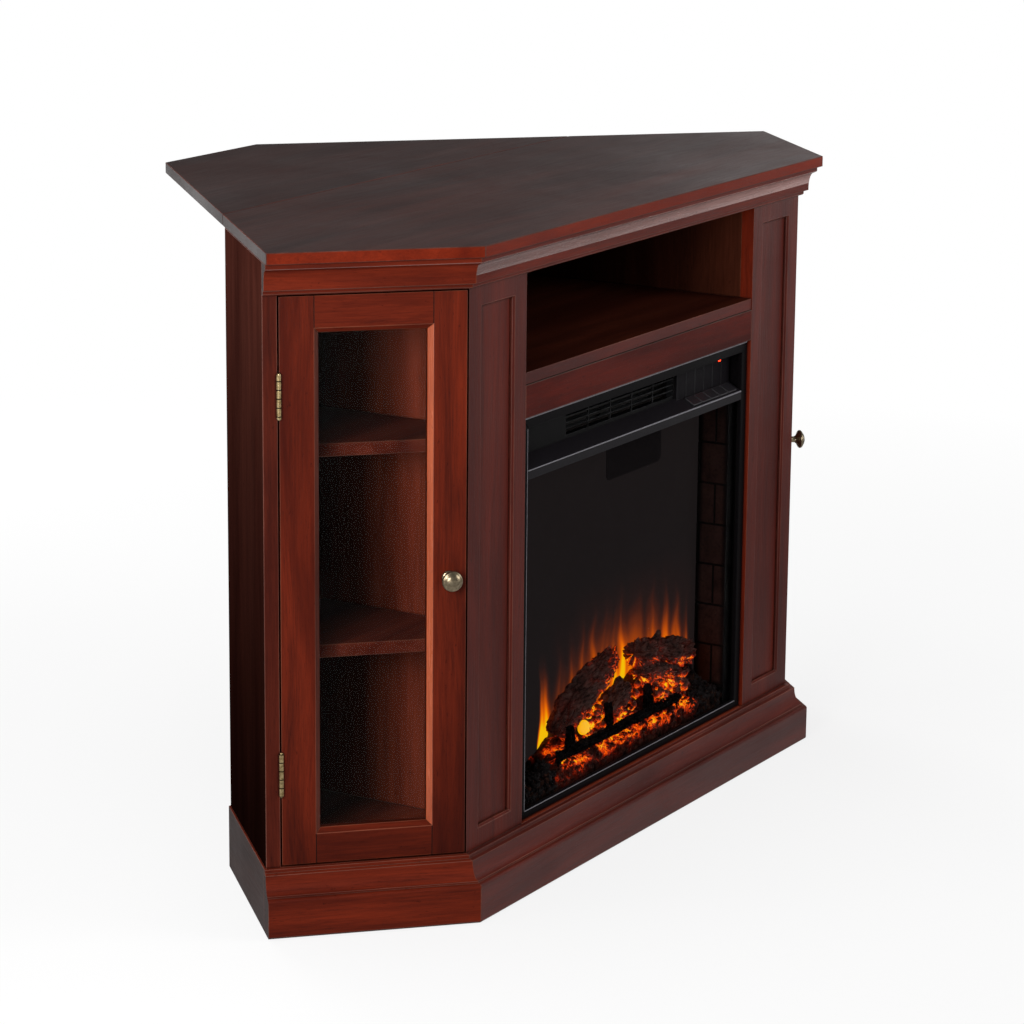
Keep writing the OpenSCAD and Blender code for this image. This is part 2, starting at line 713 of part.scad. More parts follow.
module leaf_hinge_plates() color("#a8925c") at_front() for (x = leaf_hinge_xs) translate([x, 0, 0]) {
  half = leaf_hinge_w / 2;
  hinge_plate(-1, [[-half, -half + leaf_knuckle], [half - leaf_knuckle, half]]);
  translate([0, seam_y, leaf_axis_z]) rod_x(-half, half, hinge_pin_r);
}

module rear_leaf_hinges() color("#a8925c") at_front() for (x = leaf_hinge_xs) translate([x, 0, 0])
  difference() {
    hinge_plate(1, [[-leaf_knuckle / 2, leaf_knuckle / 2]]);
    translate([0, seam_y, leaf_axis_z]) rod_x(-leaf_knuckle, leaf_knuckle, hinge_pin_r + bore_gap);
  }

bracket_t = 2;
module rear_leaf_brackets() color("#77736b") at_front() both_sides() {
  cheek = stay_t / 2 + turn_gap;
  low = stay_z - stay_w / 2 - 1;
  block([stay_x - 9, stay_y - 12.5, board_z - bracket_t], [stay_x + 9, stay_y + 12.5, board_z]);
  for (x = [-cheek - bracket_t, cheek])
    block([stay_x + x, stay_y - 6, low], [stay_x + x + bracket_t, stay_y + 6, board_z - bracket_t]);
  translate([stay_x, stay_y, stay_z]) rod_x(-cheek - bracket_t, cheek + bracket_t, stay_pin_r);
}

// Each arm hangs from its bracket; its foot runs in the channel on the partition's back edge
module leaf_stay_arms() color("#8c887f") at_front() both_sides()
  translate([stay_x, stay_y, stay_z]) rotate([-stay_lean, 0, 0]) difference() {
    union() {
      block([-stay_t / 2, -stay_w / 2, -stay_len], [stay_t / 2, stay_w / 2, 0]);
      rod_x(-stay_t / 2, stay_t / 2, stay_w / 2);
      translate([0, 0, -stay_len]) rod_x(-foot_half, foot_half, stay_w / 2);
    }
    rod_x(-stay_t, stay_t, stay_pin_r + bore_gap);
  }

module leaf_stay_channels() color("#77736b") at_front() both_sides() {
  wall = foot_half + 1;
  z_low = stay_z + stay_drop - stay_reach - stay_len - 16;
  z_top = stay_z - stay_len * cos(stay_lean) + 15;
  difference() {
    block([stay_x - wall - channel_t, body_back, z_low], [stay_x + wall + channel_t, seam_y - 0.5, z_top]);
    block([stay_x - wall, body_back + channel_t, z_low + channel_t],
          [stay_x + wall, seam_y + eps, z_top + eps]);
  }
}

// ---------- fire insert ----------

module insert_frame() color("#1b1b1c") at_front() {
  h = ins_half;
  f = frame_inner;
  z1 = ins_z1;
  top_in = ins_z1 - frame_bar;
  low_in = ins_z0 + frame_bottom;
  g = hairline;
  wall_y(ins_y, frame_back) polygon([[g - h, z1], [h - g, z1], [f - g, top_in], [g - f, top_in]]);
  wall_y(ins_y, frame_back) polygon([[g - h, ins_z0], [h - g, ins_z0], [f - g, low_in], [g - f, low_in]]);
  both_sides() wall_y(ins_y, frame_back)
    polygon([[h, ins_z0 + g], [h, z1 - g], [f, top_in - g], [f, low_in + g]]);
}

// Folded sheet casing with a baffle over the fire and a vent field in its back
vent_slots = 14;
module insert_casing() color("#242424") at_front() difference() {
  union() {
    difference() {
      block([-casing_half, frame_back, base_h], [casing_half, casing_back, casing_z1]);
      block([-cavity_half, frame_back - eps, cavity_z0], [cavity_half, cavity_back, cavity_z1]);
    }
    block([-cavity_half, glass_back + flat_gap, baffle_z], [cavity_half, cavity_back, baffle_z + sheet_t]);
  }
  for (i = [0:vent_slots - 1])
    block([outlet_x0 + 16 * i, cavity_back - eps, wheel_z - 15],
          [outlet_x0 + 16 * i + 8, casing_back + eps, wheel_z + 15]);
  translate([gland_x, cavity_back - eps, gland_z]) rotate([-90, 0, 0])
    cylinder(h = sheet_t + 2 * eps, r = gland_r + bore_gap);
}

module insert_glass() color("#101112", 0.5) at_front()
  block([-cavity_half + 2, frame_back, cavity_z0 + 3], [cavity_half - 2, glass_back, glass_top]);

// Local frame on the hood's slope: y up the slope, z out of it
module on_slope() translate([0, ins_y, lip_z]) rotate([slope_angle, 0, 0]) children();

button_x0 = panel_x + 17;
button_y0 = 3.4;
function button_x(i) = button_x0 + button_pitch * (i - 1);

module hood_band() color("#2b2b2c") at_front() difference() {
  under = hood_t / cos(slope_angle);
  bar_x(-frame_inner, frame_inner) polygon([
    [ins_y, hood_z], [ins_y, lip_z], [plate_y, plate_z], [plate_y, plate_z - under],
    [ins_y + hood_t, lip_z + hood_t * tan(slope_angle) - under], [ins_y + hood_t, hood_z]]);
  on_slope() for (i = [1:5]) block(
    [button_x(i) - button_gap, button_y0 - button_gap, -hood_t - eps],
    [button_x(i) + button_w + button_gap, button_y0 + button_l + button_gap, eps]);
}

button_stem = 5.5;
button_travel = 1;
switch_drop = button_stem + 2 * button_travel;
// A button is a plunger through the hood, held by a flange behind it
module button(i) color("#3a3a3b") at_front() on_slope() {
  x0 = button_x(i);
  y1 = button_y0 + button_l;
  block([x0, button_y0, -button_stem], [x0 + button_w, y1, button_h]);
  for (y = [button_y0 - 1.2, y1])
    block([x0, y, -hood_t - 1.5], [x0 + button_w, y + 1.2, -hood_t - button_gap]);
}
module button_1() button(1);
module button_2() button(2);
module button_3() button(3);
module button_4() button(4);
module button_5() button(5);

slat_gap = 7.5;
module outlet_grille() color("#1f1f20") at_front() {
  difference() {
    block([-cavity_half, plate_y, plate_z - hood_t / cos(slope_angle)],
          [cavity_half, plate_y + plate_t, cavity_z1]);
    block([outlet_x0, plate_y - eps, outlet_z0], [outlet_x1, plate_y + plate_t + eps, outlet_z1]);
  }
  for (z = [outlet_z0 + slat_gap:slat_gap:outlet_z1 - 2])
    block([outlet_x0, plate_y, z], [outlet_x1, plate_y + plate_t, z + 1]);
  for (i = [1:4]) {
    x = outlet_x0 + (outlet_x1 - outlet_x0) * i / 5;
    block([x, plate_y, outlet_z0], [x + 1.5, plate_y + plate_t, outlet_z1]);
  }
}

led_x_inset = 30;
led_drop = 6;
led_r = 2.5;
led_l = 3;
face_out = 4;        // control plate in front of the grille plate
segments = 6;
groove = 0.8;
switch_w = 6;
rib = 1.8;
module control_panel() color("#303032") at_front() {
  face_y = plate_y - face_out;
  top = ins_z1 - frame_bar - flat_gap;
  foot = lip_z + (face_y - ins_y) * tan(slope_angle);
  led = [frame_inner - led_x_inset, face_y, top - led_drop];
  difference() {
    bar_x(panel_x, frame_inner)
      polygon([[face_y, foot], [plate_y, plate_z], [plate_y, top], [face_y, top]]);
    for (i = [1:segments - 1])
      block([panel_x + panel_w * i / segments, face_y - eps, foot], [panel_x + panel_w * i / segments + 1,
             face_y + groove, top + eps]);
    translate(led) rotate([-90, 0, 0]) translate([0, 0, -eps]) cylinder(h = led_l + eps, r = led_r);
  }
  translate(led) rotate([-90, 0, 0]) cylinder(h = led_l, r = led_r - bore_gap);
  // circuit board behind the plate, and the strip of switches under the buttons
  board_y = plate_y + plate_t;
  block([panel_x + 7, board_y, outlet_z0], [frame_inner - 5, board_y + pcb_t, cavity_z1 - 8]);
  on_slope() for (i = [1:5]) {
    x = button_x(i) + (button_w - switch_w) / 2;
    y = button_y0 + (button_l - switch_w) / 2;
    block([x, y, -switch_drop - flat_gap], [x + switch_w, y + switch_w, -switch_drop + 0.9]);
  }
  // the strip's front edge is held against the back of the hood's lip
  bar_x(button_x0, button_x(5) + button_w) polygon([
    for (p = [[hood_t, 0], [hood_run - 6, 0], [hood_run - 6, -rib], [hood_t, -rib]])
      [ins_y + p[0], lip_z + p[0] * tan(slope_angle) - switch_drop / cos(slope_angle) + p[1]]]);
}

// Side walls with brick joints, laid in running bond
module brick_walls() color("#191817") at_front() both_sides() difference() {
  block([brick_half, fire_y, cavity_z0], [cavity_half, screen_y, baffle_z]);
  for (k = [0:floor((baffle_z - cavity_z0) / course_h)]) {
    z = cavity_z0 + 30 + course_h * k;
    y = screen_y - (k % 2 == 0 ? 28 : 5);
    if (z < baffle_z)
      block([brick_half - eps, fire_y - eps, z], [brick_half + joint_depth, screen_y + eps, z + joint_w]);
    block([brick_half - eps, y, z + joint_w - eps], [brick_half + joint_depth, y + joint_w,
           min(z + course_h + eps, baffle_z + eps)]);
  }
}

tab_x0 = 15;
tab_x1 = 160;
tab_h = 66;
tab_r = 8;
module flame_screen() color("#1e1d1c") at_front() {
  block([-cavity_half, screen_y, cavity_z0], [cavity_half, screen_y + screen_t, baffle_z]);
  wall_y(screen_y - 1.5, screen_y) union() {
    translate([tab_x0, baffle_z - tab_h + tab_r]) square([tab_x1 - tab_x0, tab_h - tab_r]);
    translate([tab_x0 + tab_r, baffle_z - tab_h]) square([tab_x1 - tab_x0 - 2 * tab_r, tab_r]);
    for (x = [tab_x0 + tab_r, tab_x1 - tab_r]) translate([x, baffle_z - tab_h + tab_r]) circle(r = tab_r);
  }
}

// ---------- fire bed ----------

// A log from a to b with its end radii
module log(a, b, ra, rb) {
  v = b - a;
  tilt = acos(v[2] / norm(v));
  translate(a) rotate([0, tilt, atan2(v[1], v[0])]) {
    cylinder(h = norm(v), r1 = ra, r2 = rb);
    sphere(r = ra);
    translate([0, 0, norm(v)]) sphere(r = rb);
  }
}

// Fire furniture is placed from the casing's floor
log_r = 18;
log_y = screen_y - log_r - flat_gap;
module logs(grow = 0) {
  g = grow;
  z = cavity_z0;
  // the left log leans up to a split tip
  log([-138, log_y, z + 68], [-28, log_y, z + 124], log_r + g, 15 + g);
  log([-28, log_y, z + 124], [-4, log_y, z + 147], 15 + g, 3 + g);
  // the right log lies over the embers and carries a branch stub
  log([80, log_y, z + 131], [204, log_y, z + 88], 16 + g, log_r + g);
  log([140, log_y, z + 112], [150, log_y, z + 138], 6 + g, 3 + g);
  // two short billets between and under them
  log([-24, log_y, z + 66], [30, log_y, z + 84], 15 + g, 15 + g);
  log([78, log_y, z + 84], [168, log_y, z + 66], 13 + g, 14 + g);
}

grate_x0 = -182;
grate_x1 = 163;
grate_rise = 40.5;
grate_t = 5;
grate_bar_h = 11;
post_h = 43;
post_half = 4;
grate_z = cavity_z0 + grate_rise;
post_xs = [-137, -37, 68];
module grate_bars(grow = 0) {
  g = grow;
  y0 = fire_y + flat_gap - g;
  y1 = fire_y + flat_gap + grate_t + g;
  block([grate_x0 - g, y0, grate_z - g], [grate_x1 + g, y1, grate_z + grate_bar_h + g]);
  for (x = post_xs)
    block([x - post_half - g, y0, grate_z - g], [x + post_half + g, y1, grate_z + post_h + g]);
  for (x = [grate_x0, grate_x1 - 2 * post_half])
    block([x - g, y0, cavity_z0 - g], [x + 2 * post_half + g, y1, grate_z + g]);
}

module log_set() color("#3a2a20") at_front() logs();
module grate() color("#151515") at_front() grate_bars();

// Mound of embers: a low front bank, and a back bank that carries the logs in their own hollows
bed_front_h = 38;
bed_steps = 36;
bank_split = 7;
// Crest of the back bank: place along the fire, height above the casing's floor
crest = [[-190, 34], [-160, 52], [-120, 68], [-80, 84], [-30, 92], [20, 82], [60, 96],
         [90, 108], [150, 100], [205, 84], [232, 50]];
bed_droop = 12;      // how much lower the bed is at its ends
function bed_top(x) =
  bed_front_h - bed_droop * pow(abs(x) / brick_half, 6) + 2.5 * sin(x * 5.3) + 1.8 * cos(x * 9.1);
function crest_at(x) = x < crest[0][0] ? 0 : lookup(x, crest);
function bank_pts(back) = concat(
  [[-brick_half, cavity_z0]],
  [for (i = [0:bed_steps]) let (x = -brick_half + 2 * brick_half * i / bed_steps)
    [x, cavity_z0 + (back ? max(bed_top(x), crest_at(x)) : bed_top(x))]],
  [[brick_half, cavity_z0]]);
module ember_bed() color("#b34a14") at_front() difference() {
  union() {
    wall_y(fire_y, fire_y + bank_split) polygon(bank_pts(false));
    wall_y(fire_y + bank_split, screen_y) polygon(bank_pts(true));
  }
  logs(turn_gap);
  grate_bars(turn_gap);
}

// ---------- flicker rod, lamps, blower, heater ----------

paddles = 8;
bearing_inset = 34;
bearing_l = 8;
module flicker_rod() color("#c9c9c6") at_front() translate([0, rod_y, rod_z]) {
  reach = cavity_half - bearing_inset;
  rod_x(-reach, reach, rod_r);
  for (i = [0:paddles - 1]) {
    x = -reach + 2 * reach * (i + 0.5) / paddles;
    translate([x, 0, 0]) rotate([i * 180 / paddles * 3, 0, 0])
      block([-20, -13, -0.4], [20, 13, 0.4]);
  }
}

fan_motor_r = 19;
rod_motor_r = 15;
fan_motor_l = 42;
tail_r = 8;
module insert_motors() color("#8a8a86") at_front() {
  // fan motor against the blower's end plate
  translate([blower_x1 + end_t, wheel_y, wheel_z]) difference() {
    rod_x(0, fan_motor_l, fan_motor_r);
    rod_x(-eps, fan_motor_l / 2, shaft_r + bore_gap);
  }
  // flicker motor and tail bearing on the casing's side walls
  translate([0, rod_y, rod_z]) {
    grip = cavity_half - bearing_inset;
    mouth = grip - bearing_l;
    difference() {
      rod_x(mouth, cavity_half, rod_motor_r);
      rod_x(mouth - eps, grip + flat_gap, rod_r + bore_gap);
    }
    difference() {
      rod_x(-cavity_half, -mouth, tail_r);
      rod_x(-grip - flat_gap, -mouth + eps, rod_r + bore_gap);
    }
  }
}

lamps = 12;
lamp_r = 2.5;
lamp_board_w = 45;
lamp_board_inset = 30;
board_lift = 4;      // stand-offs under the lamp board
pcb_t = 1.6;
module lamp_board() color("#2f5d3a") at_front() {
  z = cavity_z0 + board_lift;
  y0 = screen_y + screen_t + 2 * board_lift;
  y1 = y0 + lamp_board_w;
  half = brick_half - lamp_board_inset;
  inset = 2 * lamp_r + 1;
  block([-half, y0, z], [half, y1, z + pcb_t]);
  for (x = [-half + inset, half - inset]) for (y = [y0 + inset, y1 - inset])
    translate([x, y, cavity_z0]) cylinder(h = board_lift, r = lamp_r);
  for (i = [0:lamps - 1]) {
    x = -half + 2 * half * (i + 0.5) / lamps;
    translate([x, (y0 + y1) / 2, z + pcb_t]) cylinder(h = board_lift, r = lamp_r);
  }
}

shaft_r = 3;
end_t = 1.5;
blower_x0 = outlet_x0 - 4;
blower_x1 = outlet_x1 + 3;
scroll_r = wheel_r + 3;
// Scroll round the wheel with a straight duct to the grille and an end plate at each side
module blower_housing() color("#6f6f6c") at_front() {
  duct_y = plate_y + plate_t;
  difference() {
    union() {
      bar_x(blower_x0, blower_x1) difference() {
        union() {
          translate([wheel_y, wheel_z]) circle(r = scroll_r + sheet_t);
          translate([duct_y, wheel_z - scroll_r - sheet_t])
            square([wheel_y - duct_y, 2 * (scroll_r + sheet_t)]);
        }
        translate([wheel_y, wheel_z]) circle(r = scroll_r);
        translate([duct_y - eps, wheel_z - scroll_r]) square([wheel_y - duct_y + eps, 2 * scroll_r]);
        // air intake over the back of the wheel
        translate([wheel_y + 6, wheel_z + 4]) square([scroll_r, scroll_r]);
      }
      for (x = [blower_x0 - end_t, blower_x1])
        block([x, duct_y, baffle_z + sheet_t],
              [x + end_t, wheel_y + scroll_r + 3, wheel_z + scroll_r + sheet_t]);
    }
    translate([0, wheel_y, wheel_z])
      rod_x(blower_x0 - 2 * end_t, blower_x1 + 2 * end_t, shaft_r + bore_gap);
  }
}

module blower_wheel() color("#9c9c98") at_front() translate([0, wheel_y, wheel_z]) {
  x0 = blower_x0 + 2;
  x1 = blower_x1 - 2;
  rod_x(blower_x0 - end_t, blower_x1 + end_t + 20, shaft_r);
  for (x = [x0, (x0 + x1) / 2, x1 - 1.5]) translate([x, 0, 0]) rod_x(0, 1.5, wheel_r);
  for (a = [0:360 / blades:359]) rotate([a, 0, 0]) translate([0, wheel_r - 4, 0]) rotate([30, 0, 0])
    block([x0, -3, -0.4], [x1, 3, 0.4]);
}

coil_rows = 5;
module heating_coil() color("#7a4a30") at_front() {
  y = plate_y + plate_t + 14;
  x0 = blower_x0 + 4;
  x1 = blower_x1 - 4;
  z0 = wheel_z - scroll_r;
  pitch = 2 * scroll_r / (coil_rows + 1);
  for (x = [x0, x1 - 2]) block([x, y - 5, z0], [x + 2, y + 5, z0 + 2 * scroll_r]);
  for (i = [1:coil_rows]) translate([0, y, z0 + pitch * i]) rod_x(x0 + 1, x1 - 1, 1.6);
}

gland_r = 8;
gland_x = 225;
gland_z = base_h + 40;
module cord_gland() color("#1a1a1a") at_front() translate([gland_x, cavity_back - 2, gland_z])
  rotate([-90, 0, 0]) difference() {
    union() {
      cylinder(h = 2, r = gland_r + 3);
      cylinder(h = sheet_t + 2, r = gland_r);
      translate([0, 0, sheet_t + 2]) cylinder(h = 4, r = gland_r + 3);
      translate([0, 0, sheet_t + 6]) cylinder(h = 12, r1 = gland_r, r2 = gland_r - 2.5);
    }
    translate([0, 0, -eps]) cylinder(h = sheet_t + 20, r = 3.6);
  }

// ---------- nodes ----------

top_board();
crown_moulding();
head_rails();
plinth_moulding();
side_panel_left();
side_panel_right();
pilaster_left();
pilaster_right();
partition_left();
partition_right();
back_panels();
niche_floor();
firebox_rail();
bottom_deck();
shelves_left();
shelves_right();
shelf_pins();
door_hinge_plates();
door_catches();
leaf_hinge_plates();
leaf_stay_channels();
left_door_stiles();
left_door_rails();
left_door_glass();
left_door_stops();
left_door_knob();
left_door_fittings();
right_door_stiles();
right_door_rails();
right_door_glass();
right_door_stops();
right_door_knob();
right_door_fittings();
rear_leaf();
rear_leaf_hinges();
rear_leaf_brackets();
leaf_stay_arms();
insert_casing();
insert_frame();
insert_glass();
outlet_grille();
hood_band();
control_panel();
button_1();
button_2();
button_3();
button_4();
button_5();
brick_walls();
flame_screen();
flicker_rod();
insert_motors();
lamp_board();
ember_bed();
log_set();
grate();
blower_wheel();
blower_housing();
heating_coil();
cord_gland();
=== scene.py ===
# %% [markdown]
# # A corner fireplace in dark cherry
#
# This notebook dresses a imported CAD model: a five-sided media cabinet with a glazed door at
# each side, an open niche, an electric fire insert and a drop leaf that fills the room corner.
# The CAD part gives every solid its exact place. Here each solid gets the surface that makes it
# look like the real thing, and the few shapes that CAD can't give well, such as burnt logs and
# embers, are modelled as meshes.

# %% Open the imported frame
import bmesh
import bpy
import json
import math
import random
from mathutils import Matrix, Vector, noise

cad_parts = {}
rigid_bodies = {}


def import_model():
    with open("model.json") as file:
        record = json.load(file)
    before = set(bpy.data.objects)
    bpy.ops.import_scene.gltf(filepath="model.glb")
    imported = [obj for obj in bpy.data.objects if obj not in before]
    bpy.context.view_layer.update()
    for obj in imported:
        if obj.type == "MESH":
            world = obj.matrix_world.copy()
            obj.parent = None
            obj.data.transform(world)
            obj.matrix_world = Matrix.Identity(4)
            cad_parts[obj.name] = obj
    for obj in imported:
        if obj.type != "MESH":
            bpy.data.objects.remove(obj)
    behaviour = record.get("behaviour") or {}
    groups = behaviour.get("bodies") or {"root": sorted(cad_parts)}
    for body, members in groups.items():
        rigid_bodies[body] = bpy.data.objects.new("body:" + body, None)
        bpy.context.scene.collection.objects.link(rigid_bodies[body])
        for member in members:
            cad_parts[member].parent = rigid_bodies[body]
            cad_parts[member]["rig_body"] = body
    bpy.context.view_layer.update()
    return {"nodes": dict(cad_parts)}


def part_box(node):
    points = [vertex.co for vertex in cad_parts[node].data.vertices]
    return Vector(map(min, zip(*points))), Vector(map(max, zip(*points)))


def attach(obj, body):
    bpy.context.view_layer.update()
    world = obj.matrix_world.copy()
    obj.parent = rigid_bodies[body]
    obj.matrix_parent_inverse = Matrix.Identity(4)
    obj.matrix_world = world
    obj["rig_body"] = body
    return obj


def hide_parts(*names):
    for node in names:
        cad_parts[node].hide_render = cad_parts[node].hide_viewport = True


noise.seed_set(7)  # without this, noise_vector would start from the clock
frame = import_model()
NODES = frame["nodes"]

# %% [markdown]
# ## One way to say where things are
#
# The fire's measures are easiest in millimetres, counted from the middle of the cabinet's front
# face. `at` turns such a point into the frame's metres. The front face itself is read from the
# CAD model, so nothing drifts if the cabinet changes.

# %% Millimetres on the front face
FRONT_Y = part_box("firebox_rail")[0].y
FIRE_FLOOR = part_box("ember_bed")[0].z * 1000
TAB_THICK = 1.5  # how far the screen's tab stands in front of it
SCREEN_Y = (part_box("flame_screen")[0].y - FRONT_Y) * 1000 + TAB_THICK
SLANT = math.sqrt(0.5)


def at(x, y, z):
    """A point in mm from the middle of the front face, as a point of the frame in metres."""
    return Vector((x / 1000, y / 1000 + FRONT_Y, z / 1000))


def body_of(node):
    return NODES[node]["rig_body"]


print(f"front face at y {FRONT_Y:.4f} m, fire floor {FIRE_FLOOR:.1f} mm, screen {SCREEN_Y:.1f} mm back")

# %% [markdown]
# ## The camera
#
# The photograph was taken from the front left with a long lens, a little above the top board and
# tilted by half a degree. The angles and the focal length come from a calibration that used the
# cabinet's own 45 degree corners.

# %% Stand where the photographer stood
YAW, PITCH, ROLL = (math.radians(a) for a in (59.353, 13.730, 0.506))
ahead = Vector((math.sin(YAW) * math.cos(PITCH), math.cos(YAW) * math.cos(PITCH), -math.sin(PITCH)))
level = Vector((math.cos(YAW), -math.sin(YAW), 0))
upward = level.cross(ahead)
right = math.cos(ROLL) * level + math.sin(ROLL) * upward
up = -math.sin(ROLL) * level + math.cos(ROLL) * upward
lens = bpy.data.cameras.new("photo_lens")
lens.sensor_width, lens.lens = 36, 126.94
camera = bpy.data.objects.new("photo_camera", lens)
camera.matrix_world = Matrix((right, up, -ahead)).transposed().to_4x4()
camera.location = (-3.9306, -2.4544, 1.5031)
bpy.context.scene.collection.objects.link(camera)
bpy.context.scene.camera = camera
bpy.context.scene.view_settings.view_transform = "Standard"
print(f"camera {camera.location.length:.2f} m away, lens {lens.lens} mm")

# %% [markdown]
# ## Small helpers for materials
#
# A Blender material is a net of nodes. `put` adds one node, sets it and feeds its inputs, and
# the other helpers name the few nodes that come back again and again. With them a material reads
# like a recipe.

# %% Helpers that build node nets
def put(tree, kind, feeds=None, **settings):
    """Add a node; feeds maps an input's name or number to a value or to another node's output."""
    made = tree.nodes.new("ShaderNode" + kind)
    for key, value in settings.items():
        setattr(made, key, value)
    for key, value in (feeds or {}).items():
        if isinstance(value, bpy.types.NodeSocket):
            tree.links.new(value, made.inputs[key])
        else:
            made.inputs[key].default_value = value
    return made


def maths(tree, operation, *values):
    return put(tree, "Math", dict(enumerate(values)), operation=operation).outputs[0]


def times(tree, value, factor):
    return maths(tree, "MULTIPLY", value, factor)


def wide(colour):
    return colour if isinstance(colour, bpy.types.NodeSocket) else (*colour, 1)


def blend(tree, share, first, second):
    """Mix two colours; each is a socket or an (r, g, b)."""
    return put(tree, "Mix", {0: share, 6: wide(first), 7: wide(second)}, data_type="RGBA").outputs[2]


def cover(tree, colour, mask, amount, other):
    """Lay another colour over this one where the mask is, by the given amount at most."""
    return blend(tree, times(tree, mask, amount), colour, other)


def dimmed(colour, share):
    return tuple(v * share for v in colour)


def spread(tree, value, low, high, to_low=0.0, to_high=1.0):
    """Stretch a value from one range to another and keep it there."""
    feeds = {0: value, 1: low, 2: high, 3: to_low, 4: to_high}
    return put(tree, "MapRange", feeds, clamp=True).outputs[0]


def ramp(tree, value, stops):
    made = put(tree, "ValToRGB", {0: value})
    band = made.color_ramp
    while len(band.elements) < len(stops):
        band.elements.new(0.5)
    for element, (place, colour) in zip(band.elements, stops):
        element.position, element.color = place, (*colour, 1)
    return made.outputs[0]


def cloud(tree, vector, scale, detail=3.0, rough=0.5, warp=0.0):
    feeds = {"Vector": vector, "Scale": scale, "Detail": detail, "Roughness": rough, "Distortion": warp}
    return put(tree, "TexNoise", feeds).outputs[0]


def stretch(tree, vector, scale):
    return put(tree, "Mapping", {0: vector, 3: scale}).outputs[0]


def scaled(tree, vector, factor):
    return put(tree, "VectorMath", {0: vector, 3: factor}, operation="SCALE").outputs[0]


def own_place(tree):
    """Where the point is in the piece's own space, so that a pattern rides along when it moves."""
    return put(tree, "TexCoord").outputs["Object"]


def relief(tree, height, strength, distance):
    """A bump normal from a height pattern; the distance is in metres."""
    return put(tree, "Bump", {"Strength": strength, "Distance": distance, "Height": height}).outputs[0]


def new_group(name, inputs, outputs):
    """An empty node group with its inputs {name: (kind, default)} and outputs {name: kind}."""
    tree = bpy.data.node_groups.new(name, "ShaderNodeTree")
    for label, (kind, default) in inputs.items():
        socket = tree.interface.new_socket(label, in_out="INPUT", socket_type="NodeSocket" + kind)
        if default is not None:
            socket.default_value = default
    for label, kind in outputs.items():
        tree.interface.new_socket(label, in_out="OUTPUT", socket_type="NodeSocket" + kind)
    return tree, tree.nodes.new("NodeGroupInput").outputs, tree.nodes.new("NodeGroupOutput").inputs


def effect(tree, group, **feeds):
    """Use a node group with these inputs, and give its outputs."""
    return put(tree, "Group", feeds, node_tree=group).outputs


def new_material(name):
    """A material with only its Principled shader, ready for feeds."""
    made = bpy.data.materials.new(name)
    made.use_nodes = True
    tree = made.node_tree
    return made, tree, tree.nodes["Principled BSDF"].inputs


def feed(tree, inputs, **values):
    """Set or link the Principled shader's inputs; Base_Color stands for "Base Color"."""
    for key, value in values.items():
        socket = inputs[key.replace("_", " ")]
        if isinstance(value, bpy.types.NodeSocket):
            tree.links.new(value, socket)
        elif isinstance(value, tuple):
            socket.default_value = (*value, 1) if len(value) == 3 else value
        else:
            socket.default_value = value


def lay_shader(tree, share, other):
    """Show another shader over the Principled one, by share."""
    layers = {0: share, 1: tree.nodes["Principled BSDF"].outputs[0], 2: other}
    mixed = put(tree, "MixShader", layers).outputs[0]
    tree.links.new(mixed, tree.nodes["Material Output"].inputs["Surface"])


print("material helpers ready")

# %% [markdown]
# ## Shared effect: wood grain
#
# Stained cherry shows three things at once: a broad soft figure from the way the board was cut,
# fine fibres along its length, and short dark pores. All three come from noise that is squeezed
# across the board and stretched along it. Each board carries its own coordinates in an attribute
# named `grain`, whose X runs along that board, so one material suits rails, stiles and mitred
# mouldings alike.

# %% The grain group
wood_grain, given, out = new_group(
    "wood_grain", {"Grain": ("Vector", None), "Size": ("Float", 1.0)},
    {"Figure": "Float", "Fibres": "Float", "Pores": "Float"})
sized = scaled(wood_grain, given["Grain"], given["Size"])
bent = cloud(wood_grain, stretch(wood_grain, sized, (2.2, 9, 9)), 1.0, 2)
sideways = put(wood_grain, "CombineXYZ", {1: times(wood_grain, bent, 0.06)}).outputs[0]
pushed = put(wood_grain, "VectorMath", {0: sized, 1: sideways}, operation="ADD").outputs[0]
figure = cloud(wood_grain, stretch(wood_grain, pushed, (2.4, 34, 34)), 1.0, 4, 0.62, 0.4)
fibres = cloud(wood_grain, stretch(wood_grain, pushed, (14, 420, 420)), 1.0, 3, 0.7)
pores = cloud(wood_grain, stretch(wood_grain, sized, (90, 1500, 1500)), 1.0, 1)
wood_grain.links.new(spread(wood_grain, figure, 0.32, 0.68), out["Figure"])
wood_grain.links.new(spread(wood_grain, fibres, 0.3, 0.7), out["Fibres"])
wood_grain.links.new(spread(wood_grain, pores, 0.66, 0.74), out["Pores"])
print("group", wood_grain.name)

# %% [markdown]
# ## Shared effect: rubbed edges, and glaze with painted shade in corners
#
# A furniture maker rubs the stain off the arrises and leaves dark glaze in the corners.
# The Bevel node gives the normal that a rounded edge would have, and where it differs from the
# true normal there is an edge. Ambient occlusion finds the opposite: places that are close to
# another surface. The darkening there is glaze and painted shade at once, because it falls
# wherever shade would fall.

# %% The edge and corner groups
edge_rub, given, out = new_group(
    "edge_rub", {"Width": ("Float", 0.0015), "Breaks": ("Float", 40.0)}, {"Rubbed": "Float"})
rounded = put(edge_rub, "Bevel", {"Radius": given["Width"]}, samples=4).outputs[0]
true_normal = put(edge_rub, "NewGeometry").outputs["Normal"]
likeness = put(edge_rub, "VectorMath", {0: rounded, 1: true_normal}, operation="DOT_PRODUCT").outputs["Value"]
edge = spread(edge_rub, likeness, 0.995, 0.93)
patchy = spread(edge_rub, cloud(edge_rub, own_place(edge_rub), given["Breaks"], 4, 0.6), 0.38, 0.6)
edge_rub.links.new(times(edge_rub, edge, patchy), out["Rubbed"])
